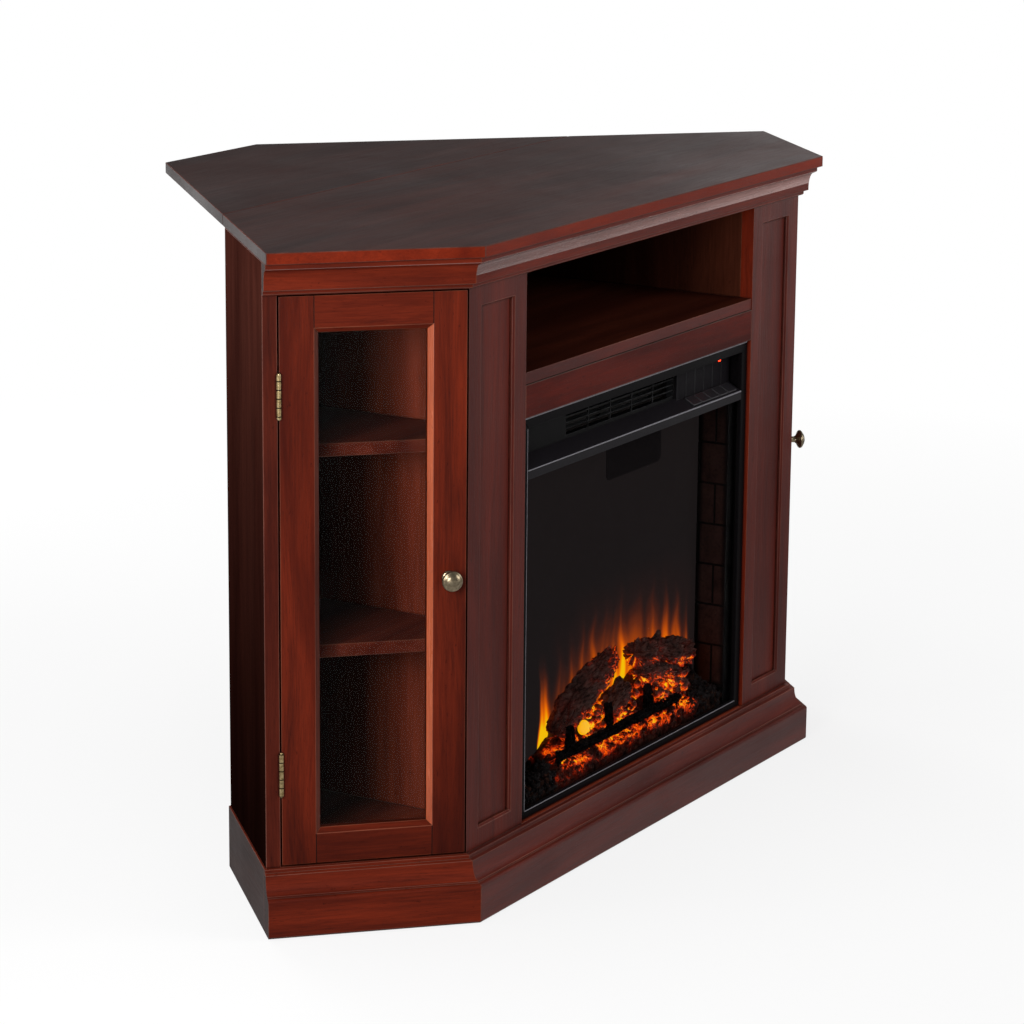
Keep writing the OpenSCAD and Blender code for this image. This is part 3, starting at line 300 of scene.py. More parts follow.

# darkens where another surface is close: glaze, and painted shade
glaze_and_corner_shade, given, out = new_group(
    "glaze_and_corner_shade", {"Reach": ("Float", 0.004), "Start": ("Float", 0.82), "Full": ("Float", 0.45)},
    {"GlazeAndShade": "Float"})
open_share = put(glaze_and_corner_shade, "AmbientOcclusion", {"Distance": given["Reach"]}, samples=6).outputs["AO"]
glaze_and_corner_shade.links.new(spread(glaze_and_corner_shade, open_share, given["Start"], given["Full"]), out["GlazeAndShade"])
print("groups", edge_rub.name, glaze_and_corner_shade.name)

# %% [markdown]
# ## Shared effect: handling marks
#
# No real surface has one even gloss. This group gives a slow cloud of wiped areas, and each
# material decides how strongly it changes the roughness.

# %% The handling group
handling, given, out = new_group("handling", {"Size": ("Float", 1.0)}, {"Wiped": "Float"})
spot = scaled(handling, own_place(handling), given["Size"])
handling.links.new(spread(handling, cloud(handling, spot, 5, 4, 0.55, 0.6), 0.3, 0.7), out["Wiped"])
print("group", handling.name)

# %% [markdown]
# ## The cherry finish
#
# Under the satin lacquer lies a red-brown stain, darker in the figure's valleys and in the pores.
# One recipe makes every wood of the cabinet: the top board, the case, the doors and the plain
# inside differ in colour and gloss. Some of them also get painted light and shade along one axis:
# the colour is scaled up where the lamps fall and down where shade falls. The lacquer's own
# reflection is kept low, because a rubbed satin finish scatters most of it.

# %% A recipe for stained wood
# the stain rubbed off the edges, and the dark of glaze and painted shade in corners
RUBBED_STAIN, CORNER_GLAZE_AND_SHADE = (0.42, 0.13, 0.06), (0.006, 0.0025, 0.002)


def stained(name, dark, light, gloss, shine, rub, size=1.0, glaze_and_shade=0.75, painted_shade=None):
    """Cherry between two colours. The last argument, (axis number, start, end, brightness at start, at end)
    and squared, paints light and shade along the piece.
    """
    made, tree, skin = new_material(name)
    board = put(tree, "Attribute", attribute_name="grain").outputs["Vector"]
    grain = effect(tree, wood_grain, Grain=board, Size=size)
    wiped = effect(tree, handling)["Wiped"]
    tone = maths(tree, "MULTIPLY_ADD", grain["Fibres"], 0.4, times(tree, grain["Figure"], 0.6))
    colour = blend(tree, tone, dark, dimmed(light, 1.07))
    stain = cloud(tree, stretch(tree, board, (2.2, 16, 16)), 1.0, 4, 0.6, 0.5)
    deep_stain = tuple(v * w for v, w in zip(dark, (0.8, 0.65, 0.65)))
    colour = blend(tree, spread(tree, stain, 0.42, 0.68, 0.0, 0.8), colour, deep_stain)
    colour = cover(tree, colour, grain["Pores"], 0.45, dimmed(dark, 0.3))
    flecks = cloud(tree, stretch(tree, board, (70, 150, 150)), 1.0, 3, 0.7)
    colour = blend(tree, spread(tree, flecks, 0.66, 0.72, 0.0, 0.5), colour, dimmed(dark, 0.35))
    worn = effect(tree, edge_rub, Width=0.0012, Breaks=45.0)["Rubbed"]
    colour = cover(tree, colour, worn, rub, RUBBED_STAIN)
    # glaze and painted shade in corners and recesses
    deep = effect(tree, glaze_and_corner_shade, Reach=0.004)["GlazeAndShade"]
    colour = cover(tree, colour, deep, glaze_and_shade, CORNER_GLAZE_AND_SHADE)
    # painted light and shade: the colour is scaled along one axis of the piece
    if painted_shade:
        along = put(tree, "SeparateXYZ", {0: own_place(tree)}).outputs[painted_shade[0]]
        share = maths(tree, "POWER", spread(tree, along, *painted_shade[1:]), 2.0)
        colour = scaled(tree, colour, share)
    rough = maths(tree, "MULTIPLY_ADD", wiped, 0.1, gloss - 0.05)
    rough = maths(tree, "MULTIPLY_ADD", grain["Fibres"], 0.08, rough)
    lift = relief(tree, maths(tree, "SUBTRACT", grain["Fibres"], grain["Pores"]), 0.35, 0.0004)
    feed(tree, skin, Base_Color=colour, Roughness=rough, Normal=lift, Specular_IOR_Level=shine)
    return made


# top and leaf: painted light, lighter at the front edge and darker towards the back of the leaf
top_cherry = stained("top_cherry", (0.020, 0.0062, 0.005), (0.046, 0.012, 0.0085), 0.38, 0.22, 0.6, size=0.8,
                     painted_shade=(1, -0.30, 0.33, 1.1, 0.86))
# edges that face the lamps, painted lighter: painted light
lit_edge_cherry = stained("lit_edge_cherry", (0.13, 0.0125, 0.0040), (0.27, 0.026, 0.007), 0.4, 0.08, 0.5)
case_cherry = stained("case_cherry", (0.058, 0.0088, 0.0058), (0.145, 0.0190, 0.0105), 0.40, 0.14, 0.5)
crown_cherry = stained("crown_cherry", (0.080, 0.0100, 0.0055), (0.200, 0.0240, 0.0105), 0.42, 0.10, 0.5)
# a painted highlight on one step of the crown's front: light grey, brighter towards the right
crown_painted_highlight = stained("crown_painted_highlight", (0.130, 0.053, 0.044), (0.250, 0.122, 0.105), 0.22, 1.0, 0.5,
                       painted_shade=(0, -0.38, 0.30, 1.0, 1.45))
# moulding faces on the sides: dark, painted shade like the side panels
skirt_cherry = stained("skirt_cherry", (0.024, 0.0090, 0.0070), (0.048, 0.018, 0.014), 0.45, 0.08, 0.4)
plinth_cherry = stained("plinth_cherry", (0.058, 0.0088, 0.0058), (0.145, 0.0190, 0.0105), 0.38, 0.24, 0.5)
rail_cherry = stained("rail_cherry", (0.052, 0.0072, 0.0050), (0.132, 0.0155, 0.0090), 0.42, 0.05, 0.5)
# sides: darker than the front as painted shade, since they face away from the lamps, with painted light
# rising towards the top
side_cherry = stained("side_cherry", (0.026, 0.0078, 0.0056), (0.052, 0.014, 0.0095), 0.6, 0.0, 0.4,
                      painted_shade=(2, 0.10, 0.76, 0.52, 1.5))
strip_cherry = stained("strip_cherry", (0.038, 0.0068, 0.0046), (0.130, 0.0195, 0.0095), 0.42, 0.06, 0.4)
# doors: painted shade towards the foot
door_cherry = stained("door_cherry", (0.056, 0.0076, 0.0040), (0.205, 0.0230, 0.0075), 0.40, 0.08, 0.4,
                      painted_shade=(2, 0.09, 0.30, 0.88, 1.0))
door_crown = stained("door_crown", (0.060, 0.0080, 0.0042), (0.215, 0.0240, 0.0080), 0.40, 0.08, 0.5)
# inside: lighter than the case, painted light for the lamps that shine through the glass, and painted shadow
# towards the back, where the door's stile keeps the light off
inner_cherry = stained("inner_cherry", (0.130, 0.0225, 0.0115), (0.290, 0.048, 0.022), 0.5, 0.02, 0.3,
                       painted_shade=(1, -0.165, -0.095, 1.0, 0.35))
# shelves: painted shadow towards the back, as on the partitions
shelf_cherry = stained("shelf_cherry", (0.085, 0.0145, 0.0085), (0.190, 0.032, 0.018), 0.5, 0.02, 0.3,
                       painted_shade=(1, -0.175, -0.085, 1.0, 0.35))
# niche: darker than the case as painted shade of the recess, its walls painted lighter towards the open front
niche_wall = stained("niche_wall", (0.034, 0.0085, 0.0040), (0.080, 0.0190, 0.0090), 0.45, 0.03, 0.3,
                     painted_shade=(1, -0.318, -0.20, 1.4, 0.75))
niche_base = stained("niche_base", (0.036, 0.0082, 0.0042), (0.088, 0.0185, 0.0088), 0.45, 0.03, 0.3)
back_hardboard = stained("back_hardboard", (0.022, 0.008, 0.005), (0.036, 0.013, 0.008), 0.6, 0.0, 0.0,
                         size=0.6)
print("cherry finishes made")

# %% [markdown]
# ## Rubbed arrises
#
# Every sharp edge that shows gets a real rounding, up to a millimetre wide, and the faces of that
# rounding get their own finish in the second material slot: on the wood it is the stain rubbed
# thin. Three more finishes are for single lines: a painted highlight on the glass rebate, a worn
# line and a dark joint.

# %% Finishes for the rounded edges
case_arris = stained("case_arris", (0.075, 0.018, 0.012), (0.25, 0.078, 0.05), 0.36, 0.25, 0.0, glaze_and_shade=0.6)
door_arris = stained("door_arris", (0.10, 0.020, 0.010), (0.28, 0.070, 0.032), 0.36, 0.25, 0.0, glaze_and_shade=0.6)
top_arris = stained("top_arris", (0.06, 0.015, 0.010), (0.17, 0.048, 0.032), 0.38, 0.15, 0.0, glaze_and_shade=0.3)
# a painted highlight for the glass rebate that faces the lamps
lit_rebate_cherry = stained("lit_rebate_cherry", (0.40, 0.070, 0.022), (0.62, 0.135, 0.05), 0.22, 0.6, 0.0, glaze_and_shade=0.3)
worn_line = stained("worn_line", (0.045, 0.022, 0.017), (0.13, 0.075, 0.06), 0.4, 0.2, 0.0, glaze_and_shade=0.3)
dark_joint = stained("dark_joint", (0.010, 0.003, 0.002), (0.030, 0.007, 0.004), 0.5, 0.1, 0.0)
print("arris finishes made")

# %% [markdown]
# ## Metals, plastics and glass
#
# The insert is satin black metal with folded edges, the knobs are aged pewter, the hinges are
# brass and what is hidden is zinc plated. Each has its own pattern: brushing or a fine spray
# texture. Every metal and plastic made here is also darkened in its hollows: that is patina on the
# pewter and brass, and painted shade on all of them.

# %% A recipe for metals
def metal(name, colour, tint, rough, metallic=1.0, grainy=0.0, rub=0.0, rub_colour=(0.3, 0.3, 0.31),
          shine=0.5, brushed=False, knuckles=None):
    """knuckles: (height of a groove, distance to the next) for a hinge barrel's joints, in metres."""
    made, tree, skin = new_material(name)
    place = own_place(tree)
    wiped = effect(tree, handling, Size=2.0)["Wiped"]
    streak = cloud(tree, stretch(tree, place, (900, 900, 12) if brushed else (300, 300, 300)), 1.0, 3)
    base = blend(tree, spread(tree, streak, 0.3, 0.7), colour, tint)
    worn = effect(tree, edge_rub, Width=0.0009, Breaks=90.0)["Rubbed"]
    base = cover(tree, base, worn, rub, rub_colour)
    # darkened in the hollows: patina on pewter and brass, painted shade on every metal and plastic
    hollow_patina_and_shade = effect(tree, glaze_and_corner_shade, Reach=0.003)["GlazeAndShade"]
    base = cover(tree, base, hollow_patina_and_shade, 0.6, (0.008, 0.007, 0.006))
    if knuckles:
        height = put(tree, "SeparateXYZ", {0: place}).outputs["Z"]
        off = maths(tree, "PINGPONG", maths(tree, "SUBTRACT", height, knuckles[0]), knuckles[1] / 2)
        base = blend(tree, spread(tree, off, 0.0009, 0.0004), base, (0.02, 0.013, 0.006))
    gloss = maths(tree, "MULTIPLY_ADD", wiped, 0.12, rough - 0.06)
    lift = relief(tree, cloud(tree, place, 2600, 2), 0.2 + grainy, 0.0001)
    feed(tree, skin, Base_Color=base, Roughness=gloss, Metallic=metallic, Normal=lift,
         Specular_IOR_Level=shine)
    return made


satin_black = metal("satin_black", (0.0040, 0.0034, 0.0038), (0.0068, 0.0058, 0.0066), 0.34, 0.0, 0.3, 0.4,
                    (0.04, 0.04, 0.044), shine=0.02)
hood_grey = metal("hood_grey", (0.0082, 0.0068, 0.0084), (0.0130, 0.0110, 0.0136), 0.42, 0.0, 0.3, 0.3,
                  (0.06, 0.06, 0.065), shine=0.08)
# light grey for the folded edges: a painted highlight
painted_fold_highlight = metal("painted_fold_highlight", (0.16, 0.15, 0.17), (0.27, 0.26, 0.29), 0.3, 0.0, 0.0)
grille_black = metal("grille_black", (0.003, 0.0027, 0.003), (0.005, 0.0046, 0.005), 0.5, 0.0, 0.3, 0.2,
                     shine=0.05)
pewter = metal("pewter", (0.17, 0.13, 0.08), (0.33, 0.27, 0.18), 0.3, 0.95, 0.1, 0.6, (0.58, 0.50, 0.36))
hinge_brass = metal("hinge_brass", (0.26, 0.18, 0.075), (0.60, 0.46, 0.24), 0.24, 0.95, 0.0, 0.6,
                    (0.80, 0.68, 0.45), knuckles=(0.168, 0.01038))
zinc_plate = metal("zinc_plate", (0.38, 0.38, 0.37), (0.52, 0.52, 0.50), 0.38, 0.9, 0.1, 0.3,
                   (0.7, 0.7, 0.68), brushed=True)
bright_strip = metal("bright_strip", (0.7, 0.7, 0.68), (0.85, 0.85, 0.83), 0.18, 1.0)
dull_steel = metal("dull_steel", (0.010, 0.010, 0.011), (0.018, 0.018, 0.019), 0.55, 0.0, 0.2, shine=0.1)
hot_wire = metal("hot_wire", (0.006, 0.005, 0.0045), (0.012, 0.0095, 0.008), 0.5, 0.5, shine=0.1)
key_plastic = metal("key_plastic", (0.012, 0.011, 0.013), (0.019, 0.017, 0.020), 0.42, 0.0, 0.5, 0.4,
                    (0.07, 0.07, 0.075), shine=0.2)
satin_grey = metal("satin_grey", (0.035, 0.033, 0.037), (0.055, 0.052, 0.058), 0.4, 0.0, 0.3)
panel_plastic = metal("panel_plastic", (0.0065, 0.0054, 0.0066), (0.0105, 0.009, 0.011), 0.5, 0.0, 0.5, 0.2,
                      shine=0.03)
green_board = metal("green_board", (0.010, 0.06, 0.022), (0.02, 0.10, 0.04), 0.4, 0.0)
rubber_black = metal("rubber_black", (0.012, 0.012, 0.012), (0.02, 0.02, 0.02), 0.65, 0.0, 0.5)
print("metals and plastics made")

# %% [markdown]
# ## Panes
#
# A pane is smooth glass with a faint smear that bends its reflections. It needs a Light Path
# trick: light that a lamp sends through it should not be lost, so shadow and diffuse rays see a
# clear tint instead of the refracting shader.

# %% A recipe for panes
def pane(name, tint, ior, through=1.0):
    """Glass; through is how much of the tinted light the lamps send past it."""
    made, tree, skin = new_material(name)
    smear = relief(tree, cloud(tree, own_place(tree), 7, 3, 0.5, 1.0), 0.02, 0.0005)
    feed(tree, skin, Base_Color=tint, Roughness=0.0, Metallic=0.0, Transmission_Weight=1.0, IOR=ior,
         Normal=smear)
    clear = put(tree, "BsdfTransparent", {0: wide(dimmed(tint, through))}).outputs[0]
    path = put(tree, "LightPath").outputs
    lay_shader(tree, maths(tree, "MAXIMUM", path["Is Shadow Ray"], path["Is Diffuse Ray"]), clear)
    return made


door_pane = pane("door_pane", (0.93, 0.95, 0.935), 1.11)
fire_pane = pane("fire_pane", (0.88, 0.88, 0.89), 1.001, 0.62)
lamp_red, tree, skin = new_material("lamp_red")
feed(tree, skin, Base_Color=(0.5, 0.01, 0.005), Roughness=0.25, Emission_Color=(1.0, 0.03, 0.006),
     Emission_Strength=5.0)
print("panes and the red lamp made")

# %% [markdown]
# ## Easing the edges of CAD boards
#
# A CAD edge is infinitely sharp, and nothing gives a render away faster. `ease` copies a node's
# mesh, joins its facets into real faces, rounds each long sharp edge, and writes the `grain`
# attribute: for every separate board in the node it finds the direction in which the board is
# longest. The copy then stands for the node.

# %% Helpers for boards and pieces
ALONG = {"x": Vector((1, 0, 0)), "z": Vector((0, 0, 1)), "r": Vector((SLANT, SLANT, 0)),
         "l": Vector((SLANT, -SLANT, 0))}
ACROSS = {"x": Vector((0, 1, 0)), "z": Vector((1, 0, 0)), "r": Vector((-SLANT, SLANT, 0)),
          "l": Vector((SLANT, SLANT, 0))}
WELD, FLAT = 2e-6, math.radians(0.4)  # vertices this close are one, and facets this flat one face
eased = {}


def middle_of(verts):
    return sum((v.co for v in verts), Vector()) / len(verts)


def islands(mesh):
    """The separate boards of a mesh, as lists of vertices."""
    left, found = set(mesh.verts), []
    while left:
        queue = [left.pop()]
        for v in queue:
            for e in v.link_edges:
                other = e.other_vert(v)
                if other in left:
                    left.remove(other)
                    queue.append(other)
        found.append(queue)
    return sorted(found, key=lambda verts: tuple(round(c, 5) for c in middle_of(verts)))


def reach(verts, direction):
    spots = [v.co.dot(direction) for v in verts]
    return max(spots) - min(spots)


def write_grain(mesh, boards, ways, dice):
    layer = mesh.verts.layers.float_vector["grain"]
    for verts in boards:
        way = max(ways, key=lambda w: reach(verts, ALONG[w]))
        along, across = ALONG[way], ACROSS[way]
        third = along.cross(across)
        shift = Vector((dice.uniform(0, 9), dice.uniform(0, 9), dice.uniform(0, 9)))
        for v in verts:
            v[layer] = Vector((v.co.dot(along), v.co.dot(across), v.co.dot(third))) + shift


def finish_object(name, mesh, finishes, node=None, smooth=35):
    """Turn a bmesh into a named piece that stands for a CAD node, or is an extra on the cabinet."""
    data = bpy.data.meshes.new(name)
    mesh.to_mesh(data)
    mesh.free()
    for finish in finishes:
        data.materials.append(finish)
    data.polygons.foreach_set("use_smooth", [True] * len(data.polygons))
    data.set_sharp_from_angle(angle=math.radians(smooth))
    piece = bpy.data.objects.new(name, data)
    bpy.context.scene.collection.objects.link(piece)
    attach(piece, body_of(node) if node else "cabinet")
    if node:
        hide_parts(node)
    return piece


def ease(node, width, finishes, ways="xzrl", paint=None, shortest=4, sharp=25, square_back=False):
    """A copy of a CAD node with rounded edges. finishes: the faces, then the rounded edges.

    Edges under the shortest length in mm or the sharp angle stay. square_back leaves the rearmost
    edges sharp, where another board stands on them."""
    mesh = bmesh.new()
    mesh.from_mesh(NODES[node].data)
    bmesh.ops.remove_doubles(mesh, verts=mesh.verts, dist=WELD)
    bmesh.ops.dissolve_limit(mesh, angle_limit=FLAT, verts=mesh.verts, edges=mesh.edges)
    for face in mesh.faces:
        face.material_index = 0
    edges = [e for e in mesh.edges if len(e.link_faces) == 2 and e.calc_length() > shortest / 1000
             and e.calc_face_angle(0) > math.radians(sharp)]
    if square_back:
        rear = max(v.co.y for v in mesh.verts) - 0.0001
        edges = [e for e in edges if any(v.co.y < rear for v in e.verts)]
    if width:
        bmesh.ops.bevel(mesh, geom=edges, offset=width / 1000, offset_type="OFFSET", segments=2,
                        profile=0.6, affect="EDGES", clamp_overlap=False,
                        material=min(1, len(finishes) - 1))
    mesh.verts.layers.float_vector.new("grain")
    boards = islands(mesh)
    write_grain(mesh, boards, ways, random.Random(node))
    if paint:
        for verts in boards:
            index = paint(middle_of(verts), reach(verts, ALONG["x"]))
            if index is not None:
                for face in {f for v in verts for f in v.link_faces}:
                    face.material_index = index
    piece = finish_object(node + "_eased", mesh, finishes, node)
    weigh = piece.modifiers.new("even_shading", "WEIGHTED_NORMAL")
    weigh.keep_sharp = True
    eased[node] = piece


def accent(node, index, test, among=(0, 1)):
    """Give an eased node's faces another material slot where test(middle, normal) holds."""
    chosen = [p for p in eased[node].data.polygons if p.material_index in among and test(p.center, p.normal)]
    for polygon in chosen:
        polygon.material_index = index
    print(f"{node}: {len(chosen)} faces take finish {index}")


print("easing helpers ready")

# %% [markdown]
# ## The boards, mouldings and doors
#
# Each wooden node keeps its CAD shape and gets its edges eased by what a router or sandpaper
# would take off: a millimetre on the top, half of that on mouldings and rails. The back edge of
# the bottom deck stays square, since the back panels stand on it, and the hardboard panels keep
# their sawn edges.

# %% Ease the wood
ease("top_board", 1.0, [top_cherry, top_arris, lit_edge_cherry], "x")
ease("rear_leaf", 1.0, [top_cherry, top_arris, lit_edge_cherry], "x")
ease("head_rails", 0.5, [case_cherry, case_arris], "xrl")
ease("crown_moulding", 0.5, [crown_cherry, case_arris, skirt_cherry, door_crown, crown_painted_highlight],
     "xrl")
ease("plinth_moulding", 0.6, [plinth_cherry, case_arris, skirt_cherry, door_crown], "xrl")
ease("firebox_rail", 0.9, [rail_cherry, case_arris, worn_line], "x")
ease("niche_floor", 0.8, [niche_base, case_arris, case_cherry, dark_joint], "x")
ease("bottom_deck", 0.5, [inner_cherry, case_arris], "x", square_back=True)
ease("back_panels", 0, [back_hardboard, back_hardboard], "z")
for side in ("left", "right"):
    ease(f"side_panel_{side}", 0.8, [side_cherry, case_arris, strip_cherry], "z")
    ease(f"pilaster_{side}", 0.5, [case_cherry, case_arris, lit_edge_cherry, niche_wall], "z")
    ease(f"partition_{side}", 0.6, [inner_cherry, case_arris, niche_wall], "z")
    ease(f"shelves_{side}", 0.8, [shelf_cherry, door_arris], "x")
    ease(f"{side}_door_stiles", 0.6, [door_cherry, door_arris, lit_rebate_cherry, dark_joint, top_arris],
         "z")
    ease(f"{side}_door_rails", 0.6, [door_cherry, door_arris, dark_joint], "rl")
    ease(f"{side}_door_stops", 0.5, [door_cherry, door_arris])
print(f"{len(eased)} wooden pieces eased, {sum(len(p.data.polygons) for p in eased.values())} faces")

# %% [markdown]
# ## Where one board takes more than one finish
#
# Some faces take a finish of their own. The edges that face the lamps are painted lighter, which is
# painted light: the edges of the top, the glass rebate and the side of the opening. The joints of
# the doors are dark. One step of the crown carries a painted highlight, the opposite bevel of each
# glass a thin painted highlight line, and the faces in the niche and those that look back take
# darker finishes: painted shade. `accent` picks those faces by where they are and which way they
# look: c is a face's middle and n its normal.

# %% Pick faces for the third finish and on
NICHE_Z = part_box("niche_floor")[1].z
OPENING_X, RAIL_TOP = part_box("firebox_rail")[1].x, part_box("firebox_rail")[1].z
CROWN_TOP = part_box("crown_moulding")[1].z
# the top's edges, except those that look back, take the lighter finish: painted light
for board in ("top_board", "rear_leaf"):
    accent(board, 2, lambda c, n: abs(n.z) < 0.5 and n.y < 0.3, (0,))
accent("niche_floor", 2, lambda c, n: n.y < -0.8, (0,))
accent("niche_floor", 3, lambda c, n: c.z < NICHE_Z - 0.006, (1,))
accent("firebox_rail", 2, lambda c, n: c.z > RAIL_TOP - 0.002, (1,))


def in_opening(c, n):
    return n.x < -0.8 and 0 < c.x < OPENING_X + 0.003


# the side of the opening faces the lamps: painted light below the rail, the niche's painted shade above it
accent("pilaster_right", 2, lambda c, n: in_opening(c, n) and c.z < RAIL_TOP)
accent("pilaster_right", 3, lambda c, n: in_opening(c, n) and c.z > RAIL_TOP)
for side, way in (("left", "l"), ("right", "r")):
    leftward = -ALONG[way]
    centre = middle_of(eased[f"{side}_door_stiles"].data.vertices)
    joint_out = max(abs((v.co - centre).dot(leftward)) for v in eased[f"{side}_door_rails"].data.vertices)
    glass_low, glass_high = (corner.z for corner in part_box(f"{side}_door_stops"))

    def out_by(c):
        return (c - centre).dot(leftward)

    def by_glass(c):
        return glass_low < c.z < glass_high

    def at_joint(c, n):
        return not by_glass(c) and abs(abs(out_by(c)) - joint_out) < 0.0025

    # the glass rebate that faces left takes the painted highlight
    accent(f"{side}_door_stiles", 2, lambda c, n: n.dot(leftward) > 0.35 and out_by(c) < 0.1 and by_glass(c))
    # the opposite bevel of the glass takes the top's arris finish as a thin painted highlight line
    accent(f"{side}_door_stiles", 4, lambda c, n: n.dot(leftward) < -0.35 and by_glass(c)
           and abs(out_by(c)) < joint_out + 0.004)
    accent(f"{side}_door_stiles", 3, at_joint, (1,))
    accent(f"{side}_door_rails", 2, at_joint, (1,))
    # the partition's face in the niche takes the niche's painted shade
    accent(f"partition_{side}", 2, lambda c, n: n.x * c.x < 0 and abs(n.x) > 0.8)
    accent(f"side_panel_{side}", 2, lambda c, n: n.dot(leftward) < -0.8 or (n.y < -0.5 and abs(n.x) > 0.5),
           (0,))
# faces that look back take the dark side finish, painted shade; faces towards the doors take the door's
# finish
for moulding in ("crown_moulding", "plinth_moulding"):
    accent(moulding, 2, lambda c, n: n.y > 0.1, (0,))
    accent(moulding, 3, lambda c, n: abs(c.x) > 0.42, (0,))
# one step of the crown's front takes the painted highlight
accent("crown_moulding", 4, lambda c, n: n.y < -0.2 and CROWN_TOP - 0.022 < c.z < CROWN_TOP - 0.006)

# %% [markdown]
# ## Pieces that keep their CAD mesh
#
# What is round, hidden or already right needs no new shape. `wear` only puts a material on the
# CAD node.

# %% Finishes for plain CAD nodes
def wear(finish, slot, *nodes):
    for node in nodes:
        NODES[node].data.materials.clear()
        NODES[node].data.materials.append(finish)


wear(door_pane, "door_glass", "left_door_glass", "right_door_glass")
wear(fire_pane, "fire_glass", "insert_glass")
wear(zinc_plate, "plain_steel", "insert_motors", "rear_leaf_hinges")
wear(dull_steel, "plain_steel", "blower_housing", "blower_wheel")
wear(zinc_plate, "plain_steel", "leaf_hinge_plates", "rear_leaf_brackets", "leaf_stay_arms",
     "leaf_stay_channels", "door_catches")
wear(hinge_brass, "hinge_brass", "shelf_pins")
wear(bright_strip, "reflector", "flicker_rod")
wear(green_board, "circuit_board", "lamp_board")
wear(hot_wire, "coil_wire", "heating_coil")
wear(rubber_black, "control_plastic", "cord_gland")
print("plain nodes dressed")

# %% [markdown]
# ## Hinges, knobs and screws
#
# The knob is turned: a profile of radius and height is spun round its axis, as on a lathe. The
# screw heads are a disc of rings whose height falls away inside a cross, which gives a real
# recess instead of a painted one.

# %% Turned knobs and eased hinges
KNOB_PROFILE = (  # radius and height
    (8.2, 0), (8.2, 1.2), (7.4, 2.1), (5.4, 2.6), (4.7, 4), (4.2, 7), (4.1, 10), (4.6, 12.5), (6.6, 14.6),
    (9.6, 16.4), (11.6, 17.6), (12.4, 18.6), (12.5, 19.6), (12.1, 20.6), (11.2, 21.5), (10.4, 21.7),
    (9.9, 21.9), (8.2, 23.6), (5.6, 24.9), (2.8, 25.7), (0, 26))


def angles(count):
    return [2 * math.pi * k / count for k in range(count)]


def join_rings(mesh, rings):
    """Faces between rings of vertices that follow each other; the last ring may be one point."""
    for outer, inner in zip(rings, rings[1:]):
        for k in range(len(outer)):
            j = (k + 1) % len(outer)
            mesh.faces.new((outer[k], outer[j], inner[j], inner[k]) if len(inner) > 1
                           else (outer[k], outer[j], inner[0]))


def turned(name, node, finish, profile, axis):
    """Spin a profile (radius, height in mm) about an axis that starts at the node's own foot."""
    low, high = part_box(node)
    length = max(h for r, h in profile) / 1000
    foot = (low + high) / 2 - axis * length / 2
    upright = Vector((0, 0, 1))
    side = axis.cross(upright)
    mesh = bmesh.new()
    rings = []
    for r, h in profile:
        spokes = [side * math.cos(a) + upright * math.sin(a) for a in angles(72 if r else 1)]
        rings.append([mesh.verts.new(foot + axis * (h / 1000) + spoke * (r / 1000)) for spoke in spokes])
    join_rings(mesh, rings)
    mesh.faces.new(rings[0][::-1])
    bmesh.ops.recalc_face_normals(mesh, faces=mesh.faces)
    finish_object(name, mesh, [finish], node, smooth=40)


for side, outward in (("left", Vector((-SLANT, -SLANT, 0))), ("right", Vector((SLANT, -SLANT, 0)))):
    turned(f"{side}_knob_turned", f"{side}_door_knob", pewter, KNOB_PROFILE, outward)
    ease(f"{side}_door_fittings", 0.4, [hinge_brass, hinge_brass], shortest=1.2, sharp=50)
ease("door_hinge_plates", 0.4, [hinge_brass, hinge_brass], shortest=1.2, sharp=50)
print("knobs and hinges made")


# %% Screw heads
HEAD_RINGS = 8
RISE, RIM, RECESS, SLOT_HALF, SLOT_REACH = 0.42, 0.12, 0.34, 0.12, 0.62  # shares of the head's radius


def screws(name, places, radius):
    """Zinc-plated heads with a cross recess that look backwards; the radius is in mm."""
    mesh = bmesh.new()
    turn = Vector((0, 1, 0)).to_track_quat("Z", "Y").to_matrix()
    for place in places:
        rings = []
        for i in range(HEAD_RINGS + 1):
            r = radius * (1 - i / HEAD_RINGS)
            ring = []
            for a in angles(24 if i < HEAD_RINGS else 1):
                x, y = r * math.cos(a), r * math.sin(a)
                height = RISE * radius * math.sqrt(max(0, 1 - (r / radius) ** 2)) + RIM * radius if i else 0
                near, far = sorted((abs(x), abs(y)))
                if i == HEAD_RINGS or (i and near < SLOT_HALF * radius and far < SLOT_REACH * radius):
                    height -= RECESS * radius
                ring.append(mesh.verts.new(place + turn @ Vector((x, y, height)) / 1000))
            rings.append(ring)
        join_rings(mesh, rings)
        mesh.faces.new(rings[0][::-1])
    finish_object(name, mesh, [zinc_plate], smooth=30)
    print(f"{name}: {len(places)} screws")


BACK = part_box("back_panels")[1].y
low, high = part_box("insert_casing")
rows = [(x, 0.785) for x in range(-360, 361, 90)]
rows += [(x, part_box("niche_floor")[0].z + 0.0075) for x in range(-270, 271, 90)]
screws("back_panel_screws", [Vector((x / 1000, BACK, z)) for x, z in rows], 3.6)
screws("casing_screws", [Vector((x, high.y, z)) for x in (low.x + 0.02, 0, high.x - 0.02)
                         for z in (low.z + 0.02, high.z - 0.02)], 3.4)

# %% [markdown]
# ## The fire insert's metalwork
#
# The frame and the hood are folded sheet, painted satin black. Along the outer top edge, the
# left edge, the sill and the hood's lip the fold catches the light as one thin line, and that line
# is a painted highlight: the rounded edges there take a light grey finish, and a half-round bead
# as thin as the fold, in the same light grey, lies on them.

# %% Frame, hood and grille
low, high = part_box("insert_frame")
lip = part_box("hood_band")[0]
LIP_TOP = lip.z + 0.012
